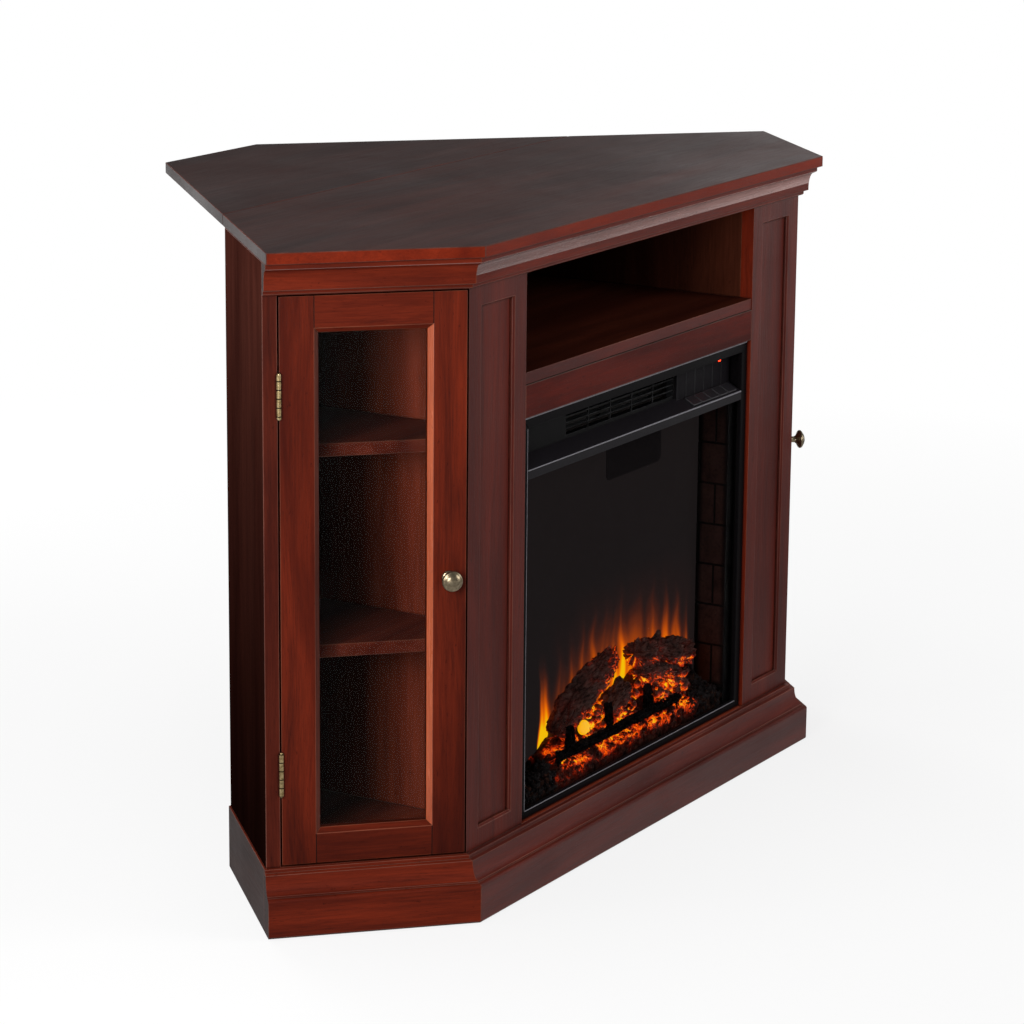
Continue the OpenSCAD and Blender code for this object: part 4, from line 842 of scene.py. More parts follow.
# the third finish, light grey, is a painted highlight on the folded edges
ease("insert_frame", 1.0, [satin_black, satin_black, painted_fold_highlight])
accent("insert_frame", 2, lambda c, n: c.y < low.y + 0.001 and c.z > high.z - 0.0014, (1,))
ease("hood_band", 0.8, [hood_grey, hood_grey, painted_fold_highlight], shortest=30)
accent("hood_band", 2, lambda c, n: c.y < lip.y + 0.001 and abs(c.z - LIP_TOP) < 0.0012, (1,))


def beads(name, finish, runs):
    """Half-round lines on folded edges that face the front; runs are (start, end, half width) in mm."""
    mesh = bmesh.new()
    for start, end, half in runs:
        start, end = Vector(start), Vector(end)
        side = (end - start).normalized().cross(Vector((0, 1, 0)))
        bow = [side * half * math.cos(a) - Vector((0, 0.6 * half * math.sin(a), 0))
               for a in (math.pi * k / 6 for k in range(7))]
        rings = [[mesh.verts.new(at(*(spot + off))) for off in bow] for spot in (start, end)]
        join_rings(mesh, rings)
        mesh.faces.new(rings[0])
        mesh.faces.new(rings[1][::-1])
    bmesh.ops.recalc_face_normals(mesh, faces=mesh.faces)
    finish_object(name, mesh, [finish], smooth=80)


LEFT, RIGHT, TOP, SILL = low.x * 1000, high.x * 1000, high.z * 1000, (low.z + 0.010) * 1000
FRAME_Y, LIP_Y, LIP_Z = (low.y - FRONT_Y) * 1000, (lip.y - FRONT_Y) * 1000, LIP_TOP * 1000
# thin beads in light grey: a painted highlight along the folds
beads("painted_fold_highlights", painted_fold_highlight, (
    ((LEFT + 1, FRAME_Y, TOP - 1.2), (RIGHT - 1, FRAME_Y, TOP - 1.2), 0.9),
    ((LEFT + 12.2, FRAME_Y, SILL), (LEFT + 12.2, FRAME_Y, TOP - 14), 0.6),
    ((LEFT + 13, FRAME_Y, SILL - 1), (RIGHT - 13, FRAME_Y, SILL - 1), 0.6),
    ((LEFT + 15, LIP_Y, LIP_Z - 0.8), (RIGHT - 15, LIP_Y, LIP_Z - 0.8), 0.7)))
ease("outlet_grille", 0.0, [grille_black])
ease("insert_casing", 0.0, [satin_black])
print("frame, hood and grille made")

# %% [markdown]
# ## The controls
#
# A moulded panel in the hood carries a red lamp behind a small domed lens, and five buttons stand
# in a row beside it. Each button is a node with its own joint, so each is eased by itself.

# %% Control panel, lamp lens and buttons
BOARD_WIDTH, BOARD_Y = 0.13, at(0, 29, 0).y


def panel_paint(middle, width):
    """The control panel's node also holds its circuit board."""
    return 2 if width > BOARD_WIDTH and middle.y > BOARD_Y else None


ease("control_panel", 0.4, [panel_plastic, key_plastic, green_board],
     paint=panel_paint, shortest=3)


def dome(name, finish, middle, facing, radius, rise, around=48, steps=8):
    """A round lens; middle in mm, facing a direction."""
    mesh = bmesh.new()
    turn = facing.normalized().to_track_quat("Z", "Y").to_matrix()
    rings = []
    for i in range(steps + 1):
        tilt = math.radians(90 * i / steps)
        r, h = radius * math.cos(tilt), rise * math.sin(tilt)
        spokes = [Vector((r * math.cos(a), r * math.sin(a), h)) for a in angles(around if i < steps else 1)]
        rings.append([mesh.verts.new(at(*(Vector(middle) + turn @ spoke))) for spoke in spokes])
    join_rings(mesh, rings)
    mesh.faces.new(rings[0][::-1])
    bmesh.ops.recalc_face_normals(mesh, faces=mesh.faces)
    finish_object(name, mesh, [finish], smooth=60)


dome("red_lamp_lens", lamp_red, (250, 23.9, 566), Vector((0, -1, 0)), 3.0, 2.4, 32)
for i in range(1, 6):
    ease(f"button_{i}", 0.7, [key_plastic, satin_grey], shortest=3)
print("controls made")

# %% [markdown]
# ## The brick walls
#
# The side walls are moulded in plastic to look like sooty brick: their colour changes slowly,
# their skin is pitted, and the joints between the bricks are almost black. The corner group finds
# the joints by itself, and it blackens the walls too wherever another part comes close, which is
# painted shade.

# %% Sooty brick
brick, tree, skin = new_material("sooty_brick")
place = own_place(tree)
soot = cloud(tree, place, 14, 5, 0.65, 0.5)
pits = cloud(tree, place, 260, 4, 0.6)
tone = blend(tree, spread(tree, soot, 0.35, 0.65), (0.026, 0.0115, 0.0095), (0.072, 0.033, 0.026))
tone = cover(tree, tone, spread(tree, pits, 0.52, 0.72), 0.5, (0.006, 0.004, 0.004))
# dark joints, and painted shade wherever another part comes close
groove = effect(tree, glaze_and_corner_shade, Reach=0.010, Start=0.97, Full=0.80)["GlazeAndShade"]
tone = blend(tree, groove, tone, (0.0012, 0.0008, 0.0008))
feed(tree, skin, Base_Color=tone, Roughness=0.75, Normal=relief(tree, pits, 0.35, 0.0006),
     Specular_IOR_Level=0.1)
ease("brick_walls", 0.7, [brick, brick], shortest=3, sharp=40)
print("brick walls made")

# %% [markdown]
# ## The smoked screen and its flames
#
# The flames are light that falls on the smoked screen from behind, and so they belong in the
# screen's own surface: a fine grid of points, each with the colour of the flame at that place.
# The line of flames is a row of dips and tips in turn, each with its place, height and strength.
# Between two of them height and strength change smoothly, slow noise makes the line waver, and
# the light fades from the foot of a flame to its tip.

# %% The light of the flames
FLAME_LINE = (  # x, height above the floor, strength: a dip and a tip in turn
    (-152, 70, 1.6), (-145, 172, 2.3), (-136, 170, 2.2), (-130, 166, 1.9), (-116, 130, 0.85),
    (-100, 184, 1.0), (-82, 156, 0.9), (-66, 198, 1.1), (-54, 172, 1.0), (-40, 206, 1.1), (-28, 178, 1.0),
    (-12, 214, 1.1), (2, 186, 1.0), (16, 220, 1.0), (34, 192, 1.1), (62, 226, 1.6), (86, 184, 1.2),
    (106, 214, 1.1), (128, 168, 0.9), (150, 222, 1.15), (170, 164, 1.0), (185, 206, 1.7), (201, 156, 1.1),
    (217, 194, 1.45), (231, 146, 0.9), (244, 174, 1.3), (260, 60, 0.2))
# the first colour, where there is no flame, is a faint painted glow over the whole screen
FLAME_COLOURS = [Vector(colour) for colour in (
    (0.0100, 0.0080, 0.0080), (0.020, 0.0096, 0.0086), (0.052, 0.0130, 0.0078), (0.14, 0.024, 0.0070),
    (0.34, 0.050, 0.004), (0.64, 0.096, 0.0025), (0.95, 0.190, 0.0018), (1.0, 0.37, 0.0018),
    (1.0, 0.56, 0.003))]
FLAME_FOOT, BRIGHTEST = 40, 1.2  # mm above the fire's floor, and the light of the last colour


def fade(start, full, value):
    """0 before start and 1 past full, with a soft rise between them."""
    t = min(max((value - start) / (full - start), 0), 1)
    return t * t * (3 - 2 * t)


def between(stops, t):
    """Interpolate a table of equally spaced values at t from 0 to 1."""
    place = min(max(t, 0), 1) * (len(stops) - 1)
    i = min(int(place), len(stops) - 2)
    return stops[i] + (stops[i + 1] - stops[i]) * (place - i)


def hum(*spot):
    """Slow noise at a point."""
    return noise.noise(Vector(spot))


def flame_light(x, z):
    """Brightness of the projected flame at x and at height z above the fire's floor."""
    above = max(z - FLAME_FOOT, 0)
    x += above / 160 * (14 * hum(x * 0.02, z * 0.018, 3.1) + 6 * hum(x * 0.06, z * 0.03, 7.7))
    light = 0.0
    for n, (a, b) in enumerate(zip(FLAME_LINE, FLAME_LINE[1:])):
        if a[0] <= x < b[0]:
            dip, tip = (a, b) if n % 2 == 0 else (b, a)
            share = abs(x - dip[0]) / (b[0] - a[0])
            top = dip[1] + (tip[1] - dip[1]) * share ** 1.15
            strength = dip[2] + (tip[2] - dip[2]) * fade(0, 1, share)
            light = strength * max(0.0, 1 - above / (top - FLAME_FOOT)) ** 1.35
    veil = math.exp(-(((x - 75) / 165) ** 4)) * fade(245, 110, z)
    streaks = 0.9 + 0.5 * hum(x * 0.10, z * 0.012, 1.7)
    return light * streaks + 0.27 * veil * (0.85 + 0.5 * hum(x * 0.05, z * 0.008, 5.0))


print(f"{len(FLAME_LINE) // 2} flames")

# %% The screen and its tab
screen, tree, skin = new_material("smoked_screen")
flames = put(tree, "Attribute", attribute_name="flames").outputs["Color"]
wiped = effect(tree, handling, Size=1.5)["Wiped"]
feed(tree, skin, Base_Color=blend(tree, wiped, (0.0135, 0.0108, 0.0108), (0.0180, 0.0145, 0.0145)),
     Roughness=maths(tree, "MULTIPLY_ADD", wiped, 0.15, 0.3), Specular_IOR_Level=0.0,
     Emission_Color=flames, Emission_Strength=1.0)

low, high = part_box("flame_screen")
COLUMNS, ROWS = 300, 200
mesh = bmesh.new()
paint = mesh.verts.layers.float_color.new("flames")
front = at(0, SCREEN_Y, 0).y
grid = []
for j in range(ROWS + 1):
    z = low.z + (high.z - low.z) * (j / ROWS) ** 1.5  # finer rows low down, where the light changes fast
    line = []
    for i in range(COLUMNS + 1):
        x = low.x + (high.x - low.x) * i / COLUMNS
        v = mesh.verts.new((x, front, z))
        v[paint] = (*between(FLAME_COLOURS, flame_light(x * 1000, z * 1000 - FIRE_FLOOR) / BRIGHTEST), 1)
        line.append(v)
    grid.append(line)
for near, far in zip(grid, grid[1:]):
    for i in range(COLUMNS):
        mesh.faces.new((near[i], near[i + 1], far[i + 1], far[i]))
rim = grid[0] + [line[-1] for line in grid[1:]] + grid[-1][-2::-1] + [line[0] for line in grid[-2:0:-1]]
back = [mesh.verts.new((v.co.x, high.y, v.co.z)) for v in rim]
join_rings(mesh, (back, rim))
mesh.faces.new(back)
for v in back:
    v[paint] = (0, 0, 0, 1)

# the rounded tab that hangs from the hood in front of the screen
tab_left, tab_right, tab_low, tab_top, corner = 15, 160, high.z * 1000 - 66, high.z * 1000, 8
outline = [(tab_right, tab_top), (tab_left, tab_top)]
for cx, start in ((tab_left + corner, 180), (tab_right - corner, 270)):
    outline += [(cx + corner * math.cos(a), tab_low + corner + corner * math.sin(a))
                for a in (math.radians(start + step) for step in range(0, 91, 9))]
tab = [[mesh.verts.new(at(x, depth, z)) for x, z in outline]
       for depth in (SCREEN_Y - TAB_THICK, SCREEN_Y - 0.05)]
mesh.faces.new(tab[0])
mesh.faces.new(tab[1][::-1])
join_rings(mesh, (tab[1], tab[0]))
# the tab gets a faint painted glow, though nothing lights it from behind
for v in tab[0] + tab[1]:
    v[paint] = (0.0035, 0.003, 0.0032, 1)
bmesh.ops.recalc_face_normals(mesh, faces=mesh.faces)
print(f"screen and tab: {len(mesh.faces)} faces")
finish_object("flame_screen_lit", mesh, [screen], "flame_screen", smooth=30)

# %% [markdown]
# ## Char, embers and ash
#
# Burnt wood cracks into plates, and in a fire that runs on lamps the light shines out of the
# cracks. Both logs and embers are meshes with real cracks, and each point keeps a value named
# `glow_heat`, which the material turns into light: deep red, then orange, then yellow.

# %% The glowing material
glow_veins, given, out = new_group(
    "glow_veins", {"Heat": ("Float", 0.0), "Size": ("Float", 1.0)}, {"Glow": "Color"})
spot = scaled(glow_veins, own_place(glow_veins), given["Size"])


def vein(scale, thickness, warp):
    """Thin lines where slow noise passes its middle value."""
    below = maths(glow_veins, "SUBTRACT", cloud(glow_veins, spot, scale, 3, 0.6, warp), 0.5)
    return spread(glow_veins, maths(glow_veins, "ABSOLUTE", below), thickness, thickness * 0.1)


veins = maths(glow_veins, "MAXIMUM", vein(52, 0.085, 1.6), times(glow_veins, vein(110, 0.07, 1.2), 0.75))
patches = spread(glow_veins, cloud(glow_veins, spot, 30, 3, 0.55), 0.38, 0.60, 0.05, 1.3)
warm = times(glow_veins, times(glow_veins, given["Heat"], patches),
             maths(glow_veins, "MULTIPLY_ADD", veins, 0.8, 0.24))
glow_veins.links.new(ramp(glow_veins, warm, (
    (0.0, (0, 0, 0)), (0.16, (0.035, 0.002, 0.0005)), (0.32, (0.42, 0.018, 0.0008)),
    (0.54, (1.0, 0.090, 0.002)), (0.80, (1.0, 0.30, 0.003)), (1.0, (1.0, 0.56, 0.01)))), out["Glow"])


def glowing(name, dark, ashy, ash_amount, strength, size=1.0, crust_scale=(210, 210, 210), shine=0.1):
    """Burnt matter between two colours, with ash on it, that glows where its glow_heat is high."""
    made, tree, skin = new_material(name)
    place = own_place(tree)
    heat = put(tree, "Attribute", attribute_name="glow_heat").outputs["Fac"]
    glow = effect(tree, glow_veins, Heat=heat, Size=size)["Glow"]
    crust = cloud(tree, stretch(tree, place, crust_scale), 1.0, 5, 0.68, 0.4)
    colour = blend(tree, spread(tree, crust, 0.40, 0.60), dimmed(dark, 0.12), dark)
    grey = spread(tree, cloud(tree, place, 60, 4, 0.6), 0.45, 0.7)
    colour = cover(tree, colour, grey, ash_amount, ashy)
    feed(tree, skin, Base_Color=colour, Roughness=0.8, Normal=relief(tree, crust, 0.4 + 5 * shine, 0.002),
         Specular_IOR_Level=shine, Emission_Color=glow, Emission_Strength=strength)
    return made


charcoal = glowing("charcoal", (0.150, 0.072, 0.058), (0.250, 0.150, 0.125), 0.5, 1.0, 0.8,
                   (40, 260, 260))
ember = glowing("ember", (0.045, 0.016, 0.010), (0.075, 0.034, 0.024), 0.3, 1.0)
ash = glowing("ash", (0.036, 0.0280, 0.0275), (0.080, 0.069, 0.068), 0.6, 0.5, shine=0.02)
print("glowing materials made")

# %% [markdown]
# ## The logs
#
# Each log is a tube round a bent centre line. Noise that is squeezed round the tube gives
# fibrous ridges, cell noise gives the plates with cracks between them, and the ends are broken
# off unevenly. Heat gathers in the cracks that face down and towards the middle of the fire.

# %% A burnt branch
def hot_mesh():
    """An empty mesh and the layer that keeps each point's glow_heat."""
    mesh = bmesh.new()
    return mesh, mesh.verts.layers.float.new("glow_heat")


def limb(mesh, heat, spine, radii, seed, warmth, around=84, step=1.5, jag=3.0):
    """A burnt branch; spine and radii in mm from the fire's floor, warmth(point, way out) from 0 to 1."""
    spine = [Vector((x, y, z + FIRE_FLOOR)) for x, y, z in spine]
    length = sum((b - a).length for a, b in zip(spine, spine[1:]))
    count = max(8, int(length / step))
    offset = Vector((seed * 7.3, seed * 3.1, seed * 1.7))
    side = Vector((0, 1, 0))
    rings = []
    for i in range(count + 1):
        t = i / count
        middle = sum((between(spine, t + d) for d in (-0.06, -0.03, 0, 0.03, 0.06)), Vector()) / 5
        way = (between(spine, min(t + 0.05, 1)) - between(spine, max(t - 0.05, 0))).normalized()
        top = side.cross(way) if way.x < 0 else way.cross(side) * -1
        radius = between(radii, t)
        along = t * length
        ends = min(t, 1 - t) * length
        ring = []
        for a in angles(around):
            u, w = math.cos(a), math.sin(a)

            def bark(squeeze, pitch):
                return noise.noise(Vector((along * pitch, u * squeeze, w * squeeze)) + offset)

            out_way = top * u + side * w
            skin_spot = Vector((along * 0.03, u * 1.1, w * 1.1)) + offset
            ridge, thread, chip = bark(5, 0.018), bark(14, 0.05), bark(2.6, 0.11)
            warped = skin_spot * 2.1 + noise.noise_vector(skin_spot * 3) * 0.25
            distances, seeds = noise.voronoi(warped)
            crack = 1 - fade(0.02, 0.14, distances[1] - distances[0])
            plate = noise.cell(seeds[0] * 37.0)
            swell = noise.noise(skin_spot * 0.8)
            uneven = 0.20 * ridge + 0.10 * thread + 0.12 * swell + 0.14 * plate + 0.16 * chip
            r = radius * (1 + uneven) - 3.0 * crack
            splinter = hum(u * 1.6, w * 1.6, seed + (0 if t < 0.5 else 5)) + 0.5 * hum(u * 6, w * 6, seed + 9)
            broken = jag * splinter
            r *= fade(-0.3, 1, (ends + broken) / max(4.0, 0.35 * radius)) * 0.6 + 0.4
            pull = max(0, 1 - ends / 10) * (1 if t > 0.5 else -1)
            spot = middle + out_way * max(r, 0.6) + way * broken * pull
            v = mesh.verts.new(at(*spot))
            glow = 0.25 + 0.9 * crack + 0.35 * max(thread, 0)
            v[heat] = warmth(spot - Vector((0, 0, FIRE_FLOOR)), out_way) * glow
            ring.append(v)
        rings.append(ring)
    join_rings(mesh, rings)
    for ring in (rings[0][::-1], rings[-1]):
        hub = mesh.verts.new(middle_of(ring))
        hub[heat] = 0.1
        join_rings(mesh, (ring, [hub]))


def from_below(power, facing=0.35):
    """Heat that rises with how far a point faces down."""
    return lambda spot, out_way: fade(facing, -0.6, out_way.z) * power


def left_log_heat(spot, out_way):
    """Hot in the splits of its right end and underneath; never under 0.16, a faint painted glow that stands
    in for the firelight on it.
    """
    end = fade(-70, -15, spot.x) * fade(0.9, 0.1, out_way.z) * 0.75
    return max(end, fade(0.35, -0.5, out_way.z) * 0.9, 0.16)


def right_log_heat(spot, out_way):
    """Hot along its underside, most at the right end; never under 0.14, a faint painted glow that stands in
    for the firelight on it.
    """
    return max(0.14, fade(0.0, -0.55, out_way.z) * (0.8 + 0.4 * fade(140, 200, spot.x)))


def cold(spot, out_way):
    return 0.0


# %% Burnt logs
mesh, heat = hot_mesh()
limb(mesh, heat, ((-146, 40, 64), (-108, 41, 88), (-68, 42, 106), (-32, 41, 122), (-10, 40, 133),
                  (0, 40, 146)), (15, 19.5, 19.5, 18, 15, 5), 1, left_log_heat, jag=9)
limb(mesh, heat, ((62, 42, 123), (110, 42, 113), (160, 42, 102), (207, 42, 91)), (17, 18.5, 18, 18), 2,
     right_log_heat, jag=9)
limb(mesh, heat, ((104, 38, 122), (110, 35, 134), (114, 33, 144)), (8, 6, 3), 3, from_below(0.4), around=40)
limb(mesh, heat, ((-30, 35, 60), (2, 38, 76), (36, 40, 86)), (15, 16.5, 14), 4, from_below(1.0, 0.7), jag=5)
limb(mesh, heat, ((66, 38, 94), (118, 39, 84), (176, 40, 66)), (12.5, 15, 14), 5, from_below(1.15, 0.9),
     jag=5)
bmesh.ops.recalc_face_normals(mesh, faces=mesh.faces)
print(f"logs: {len(mesh.faces)} faces")
finish_object("burnt_logs", mesh, [charcoal], "log_set", smooth=60)

# %% [markdown]
# ## The ember bed
#
# One moulded skin makes the whole bed: a low front bank under the grate bar and a back bank that
# carries the logs. The skin follows a profile from front to back, and cell noise lifts it into
# lumps with glowing joints. Loose lumps lie on it, and at both ends it turns into grey rubble.

# %% The moulded skin
LENS_X, LENS_Z = -98.5, 66.5  # the lamp window's place, which the embers leave free
GLASS_BACK, BED_HALF = 15.9, 267.5  # nothing stands nearer to the front, or further to the side
BAR_Z = 42  # the grate's bar hides the bed at this height
CREST = ((-268, 24), (-205, 34), (-165, 50), (-130, 64), (-80, 76), (-30, 82), (15, 74), (55, 86),
         (90, 100), (150, 92), (205, 76), (235, 44), (268, 24))  # x and height of the back bank


def crest_height(x):
    for (x0, z0), (x1, z1) in zip(CREST, CREST[1:]):
        if x <= x1:
            return z0 + (z1 - z0) * fade(x0, x1, x)
    return CREST[-1][1]


def bank(x, v):
    """The bed's skin at x, and v from 0 at the glass to 1 at the screen, as (y, z)."""
    low_bank = 37 - 11 * abs(x / 268) ** 4 + 2.5 * hum(x * 0.05, 0, 0)
    c = max(crest_height(x), low_bank)
    climb = [low_bank + share * (c - low_bank) for share in (0, 0.05, 0.35, 0.72)]
    ys = (18.6, 17.4, 18.4, 23.0, 26.5, 28.5, 32, 39, 50, 61.8)
    zs = (0.4, 0.35 * low_bank, 0.8 * low_bank, *climb, c, c - 3, c - 8)
    return between(ys, v), between(zs, v)


def from_lens(x, z):
    return math.hypot(x - LENS_X, z - LENS_Z)


def fire_zone(x, z):
    """How hot the bed is at x and height z: hot below and above the bar, cold at the ends."""
    ends = fade(-186, -160, x) * fade(206, 184, x)
    ragged = 8 * hum(x * 0.06, 0, 11)
    strip = 0
    if z < BAR_Z:
        strip = fade(3 + ragged, 30, z) * (0.64 + 0.32 * fade(22, 38, z)) * (1 - 0.12 * fade(-90, 20, x))
    upper = 1.1 * fade(BAR_Z, 50, z) * (1.0 - 0.45 * fade(58, 84, z))
    upper *= 0.85 + 0.5 * hum(x * 0.02, z * 0.03, 9)
    return ends * max(strip, upper) * fade(8, 17, from_lens(x, z))


mesh, heat = hot_mesh()
across, deep = 330, 96
skin_rows = []
for i in range(across + 1):
    x = -BED_HALF + 2 * BED_HALF * i / across
    row = []
    for j in range(deep + 1):
        v = j / deep
        y, z = bank(x, v)
        y2, z2 = bank(x, min(v + 0.01, 1))
        y1, z1 = bank(x, max(v - 0.01, 0))
        out_y, out_z = -(z2 - z1), (y2 - y1)
        size = math.hypot(out_y, out_z) or 1
        spot = Vector((x * 0.085, v * 9.0 * (0.7 + 0.3 * z / 60), 2.2))
        warp = Vector((noise.noise(spot * 1.3), noise.noise(spot * 1.3 + Vector((5, 5, 5))), 0)) * 0.35
        near, second = noise.voronoi(spot + warp)[0][:2]
        joint = 1 - fade(0.03, 0.30, second - near)
        lump = 4.0 * (0.55 - near) - 2.0 * joint + 1.8 * noise.noise(spot * 3.2)
        lump *= min(1, 8 * v * (1 - v) + 0.12) * fade(9, 20, from_lens(x, z))
        lifted_y, lifted_z = y + out_y / size * lump, z + out_z / size * lump
        vert = mesh.verts.new(at(x, max(lifted_y, GLASS_BACK), max(lifted_z, 0.3) + FIRE_FLOOR))
        patch = 0.55 + 0.95 * hum(x * 0.05, z * 0.08, 4)
        vert[heat] = fire_zone(x, z) * (0.75 + 0.45 * joint) * max(patch, 0.15) * 1.5
        row.append(vert)
    skin_rows.append(row)
for near, far in zip(skin_rows, skin_rows[1:]):
    for j in range(deep):
        mesh.faces.new((near[j], far[j], far[j + 1], near[j + 1]))
for row in (skin_rows[0], skin_rows[-1]):
    foot = [mesh.verts.new((v.co.x, v.co.y, FIRE_FLOOR / 1000)) for v in row]
    for j in range(deep):
        mesh.faces.new((row[j], row[j + 1], foot[j + 1], foot[j]))
bmesh.ops.recalc_face_normals(mesh, faces=mesh.faces)
print(f"ember skin: {len(mesh.faces)} faces")
finish_object("ember_skin", mesh, [ember], "ember_bed", smooth=60)

# %% [markdown]
# ## Loose embers and rubble
#
# On the banks lie loose lumps of char, as they would fall from the logs, and at both ends of the
# bed grey ash rubble. Each lump is a small ball, squashed, turned and roughened by noise, and the
# places come from seeded dice, so that they are the same every time.

# %% Scatter the lumps
def rubble(name, finish, count, seed, spot_of, sizes, warmth, detail=2):
    """Lumps of broken char; spot_of(dice) gives a place in mm from the fire's floor."""
    dice = random.Random(seed)
    mesh, heat = hot_mesh()
    for n in range(count):
        x, y, z = spot_of(dice)
        size = dice.uniform(*sizes)
        squash = Vector((dice.uniform(0.8, 1.5), dice.uniform(0.6, 1.0), dice.uniform(0.6, 1.0)))
        turn = dice.uniform(0, 6.28)
        pole = Vector((dice.random(), dice.random(), dice.random())).normalized()
        rolled = Matrix.Rotation(turn, 3, pole)
        for v in bmesh.ops.create_icosphere(mesh, subdivisions=detail, radius=1)["verts"]:
            way = v.co.copy()
            rough = 1 + 0.35 * noise.noise(way * 1.6 + Vector((n, 0, 0)))
            rough += 0.14 * noise.noise(way * 4 + Vector((0, n, 0)))
            local = rolled @ (way * squash) * size * rough
            local.y = max(local.y, GLASS_BACK - y)
            v[heat] = warmth(Vector((x, y, z)) + local, local / size)
            v.co = at(x + local.x, y + local.y, max(z + local.z, 0.3) + FIRE_FLOOR)
    print(f"{name}: {count} lumps, {len(mesh.faces)} faces")
    finish_object(name, mesh, [finish], smooth=50)


def on_front(dice):
    x = dice.uniform(-172, 186)
    y, z = bank(x, dice.uniform(0.06, 0.36))
    return x, y, z


def on_back(dice):
    x = dice.uniform(-160, 190)
    y, z = bank(x, dice.uniform(0.46, 0.74))
    if from_lens(x, z) < 19:
        return on_back(dice)
    return x, y, z


def at_ends(dice):
    x = dice.choice((-1, 1)) * dice.uniform(182, 262)
    y, z = bank(x, dice.uniform(0.05, 0.95))
    return x, y, z + dice.uniform(0, 6) * fade(170, 262, abs(x))


def ember_heat(spot, way):
    return fire_zone(spot.x, spot.z) * fade(0.9, -0.6, way.z) * 1.1


rubble("loose_embers", ember, 120, 21, on_front, (2.2, 5.0), ember_heat)
rubble("loose_char", charcoal, 100, 22, on_back, (3.5, 8.0), ember_heat)
rubble("ash_rubble", ash, 420, 23, at_ends, (2.0, 4.6), cold, detail=1)

# %% [markdown]
# ## The lamp window and the grate
#
# Low on the left a lamp shines straight through a round window in the moulding: a domed lens that
# glows plain yellow. The grate in front is a moulding too, rough and black: a bar with three
# stubby posts on two feet, made the same way as the logs but thin and cold.

# %% Lamp window and cast grate
lamp_glow, tree, skin = new_material("lamp_window")
centre = put(tree, "TexCoord").outputs["Generated"]
soft = put(tree, "TexGradient", {"Vector": centre}, gradient_type="LINEAR").outputs[0]
feed(tree, skin, Base_Color=(0.10, 0.05, 0.002), Roughness=0.4, Emission_Strength=1.0,
     Emission_Color=blend(tree, soft, (1.0, 0.44, 0.001), (1.0, 0.56, 0.002)))
dome("lamp_window", lamp_glow, (LENS_X, 26, LENS_Z + FIRE_FLOOR), Vector((-0.35, -0.93, 0.08)),
     9.8, 4.5)

cast_iron = glowing("cast_iron", (0.020, 0.017, 0.017), (0.030, 0.026, 0.026), 0.5, 0.3, shine=0.0)
mesh, heat = hot_mesh()
low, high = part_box("grate")
left_end, right_end = low.x * 1000 + 6, high.x * 1000 - 6
limb(mesh, heat, ((left_end, 22.5, 46), (-60, 22, 46.5), (60, 22, 46), (right_end, 22.5, 46)),
     (6.2, 6.6, 6.6, 6.0), 7, cold, around=36, step=2.0, jag=2)
for number, (x, top) in enumerate(((-137, 80), (-37, 84), (68, 84))):
    limb(mesh, heat, ((x, 24, 44), (x + 1, 23.5, 60), (x, 24, top)), (6.4, 6.8, 5.6), 11 + number, cold,
         around=36, jag=4)
for x in (left_end + 10, right_end - 10):
    limb(mesh, heat, ((x, 25, 0.5), (x, 25, 24), (x, 24, 44)), (4, 4, 4.5), 15, cold, around=24, step=2.5,
         jag=0)
bmesh.ops.recalc_face_normals(mesh, faces=mesh.faces)
print(f"grate: {len(mesh.faces)} faces")
finish_object("grate_cast", mesh, [cast_iron], "grate", smooth=50)

# %% [markdown]
# ## The floor and the light
#
# The photograph has a white ground with hardly a shadow. The floor is plain and pale, and shows
# as white to the camera and in reflections, while it keeps a part of the real shadow. A large
# soft lamp at the upper left front does the work, and weaker ones fill the other sides.

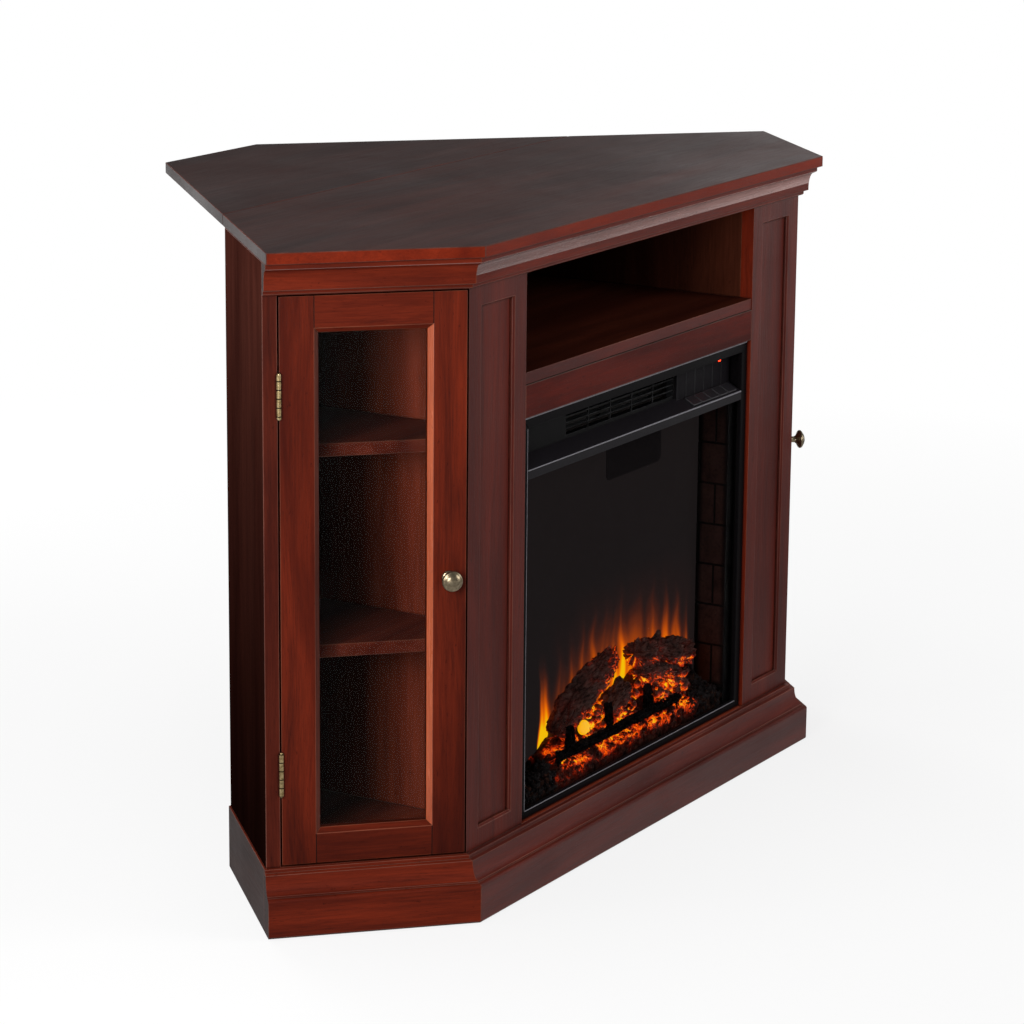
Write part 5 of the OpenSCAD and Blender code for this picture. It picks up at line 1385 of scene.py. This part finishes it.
# %% Floor, world and lamps
ground, tree, skin = new_material("studio_floor")
path = put(tree, "LightPath").outputs
direct = maths(tree, "MAXIMUM", path["Is Camera Ray"], path["Is Transmission Ray"])
feed(tree, skin, Base_Color=blend(tree, direct, (0.26, 0.26, 0.26), (0.9, 0.9, 0.9)), Roughness=0.9,
     Specular_IOR_Level=0.0)
paper_white = put(tree, "Emission", {"Color": (1, 1, 1, 1), "Strength": 1.0}).outputs[0]
distance = put(tree, "VectorMath", {0: own_place(tree)}, operation="LENGTH").outputs["Value"]
near_share = spread(tree, distance, 1.0, 2.6, 0.8, 1.0)
near_glow = spread(tree, distance, 0.6, 1.7, 0.62, 0.08)
far_glow = spread(tree, distance, 2.2, 3.7, 0.08, 1.0)
mirrored = times(tree, path["Is Glossy Ray"], maths(tree, "MAXIMUM", near_glow, far_glow))
seen = maths(tree, "MAXIMUM", direct, mirrored)
lay_shader(tree, times(tree, seen, near_share), paper_white)

sheet = bmesh.new()
bmesh.ops.create_grid(sheet, x_segments=1, y_segments=1, size=60)
data = bpy.data.meshes.new("studio_floor")
sheet.to_mesh(data)
sheet.free()
data.materials.append(ground)
floor = bpy.data.objects.new("studio_floor", data)
floor.location.z = -0.0006
bpy.context.scene.collection.objects.link(floor)

room = bpy.data.worlds.new("studio_room")
bpy.context.scene.world = room
room.use_nodes = True
room.node_tree.nodes["Background"].inputs["Color"].default_value = (1, 1, 1, 1)
room.node_tree.nodes["Background"].inputs["Strength"].default_value = 0.2


def softbox(name, place, aim, width, level, shows=True):
    """An area lamp that lights a white card at the aim point to the given level."""
    lamp = bpy.data.lights.new(name, "AREA")
    lamp.shape, lamp.size = "DISK", width
    far = (Vector(aim) - Vector(place)).length
    lamp.energy = level * (math.pi * far) ** 2
    box = bpy.data.objects.new(name, lamp)
    box.location = place
    box.rotation_euler = (Vector(aim) - Vector(place)).to_track_quat("-Z", "Y").to_euler()
    box.visible_glossy, box.visible_camera = shows, False
    bpy.context.scene.collection.objects.link(box)
    print(f"{name}: {lamp.energy:.0f} W at {far:.1f} m")


MIDDLE = (0, -0.1, 0.45)
softbox("key_softbox", (-2.20, -0.71, 0.98), (-0.49, -0.26, 0.45), 0.9, 0.78)
softbox("side_rim", (-1.45, 0.8, 1.55), (-0.5, -0.06, 0.75), 0.5, 0.12, False)
softbox("overhead", (-0.5, 0.2, 3.0), (0, 0, 0.8), 1.6, 0.5, False)
softbox("front_fill", (0.8, -2.5, 1.5), (0, -0.3, 0.5), 1.6, 0.42)
softbox("top_card", (4.3, 1.5, 1.85), (0.3, -0.1, 0.82), 0.9, 0.010)
softbox("rear_fill", (1.6, 2.6, 1.5), MIDDLE, 1.6, 0.45, False)
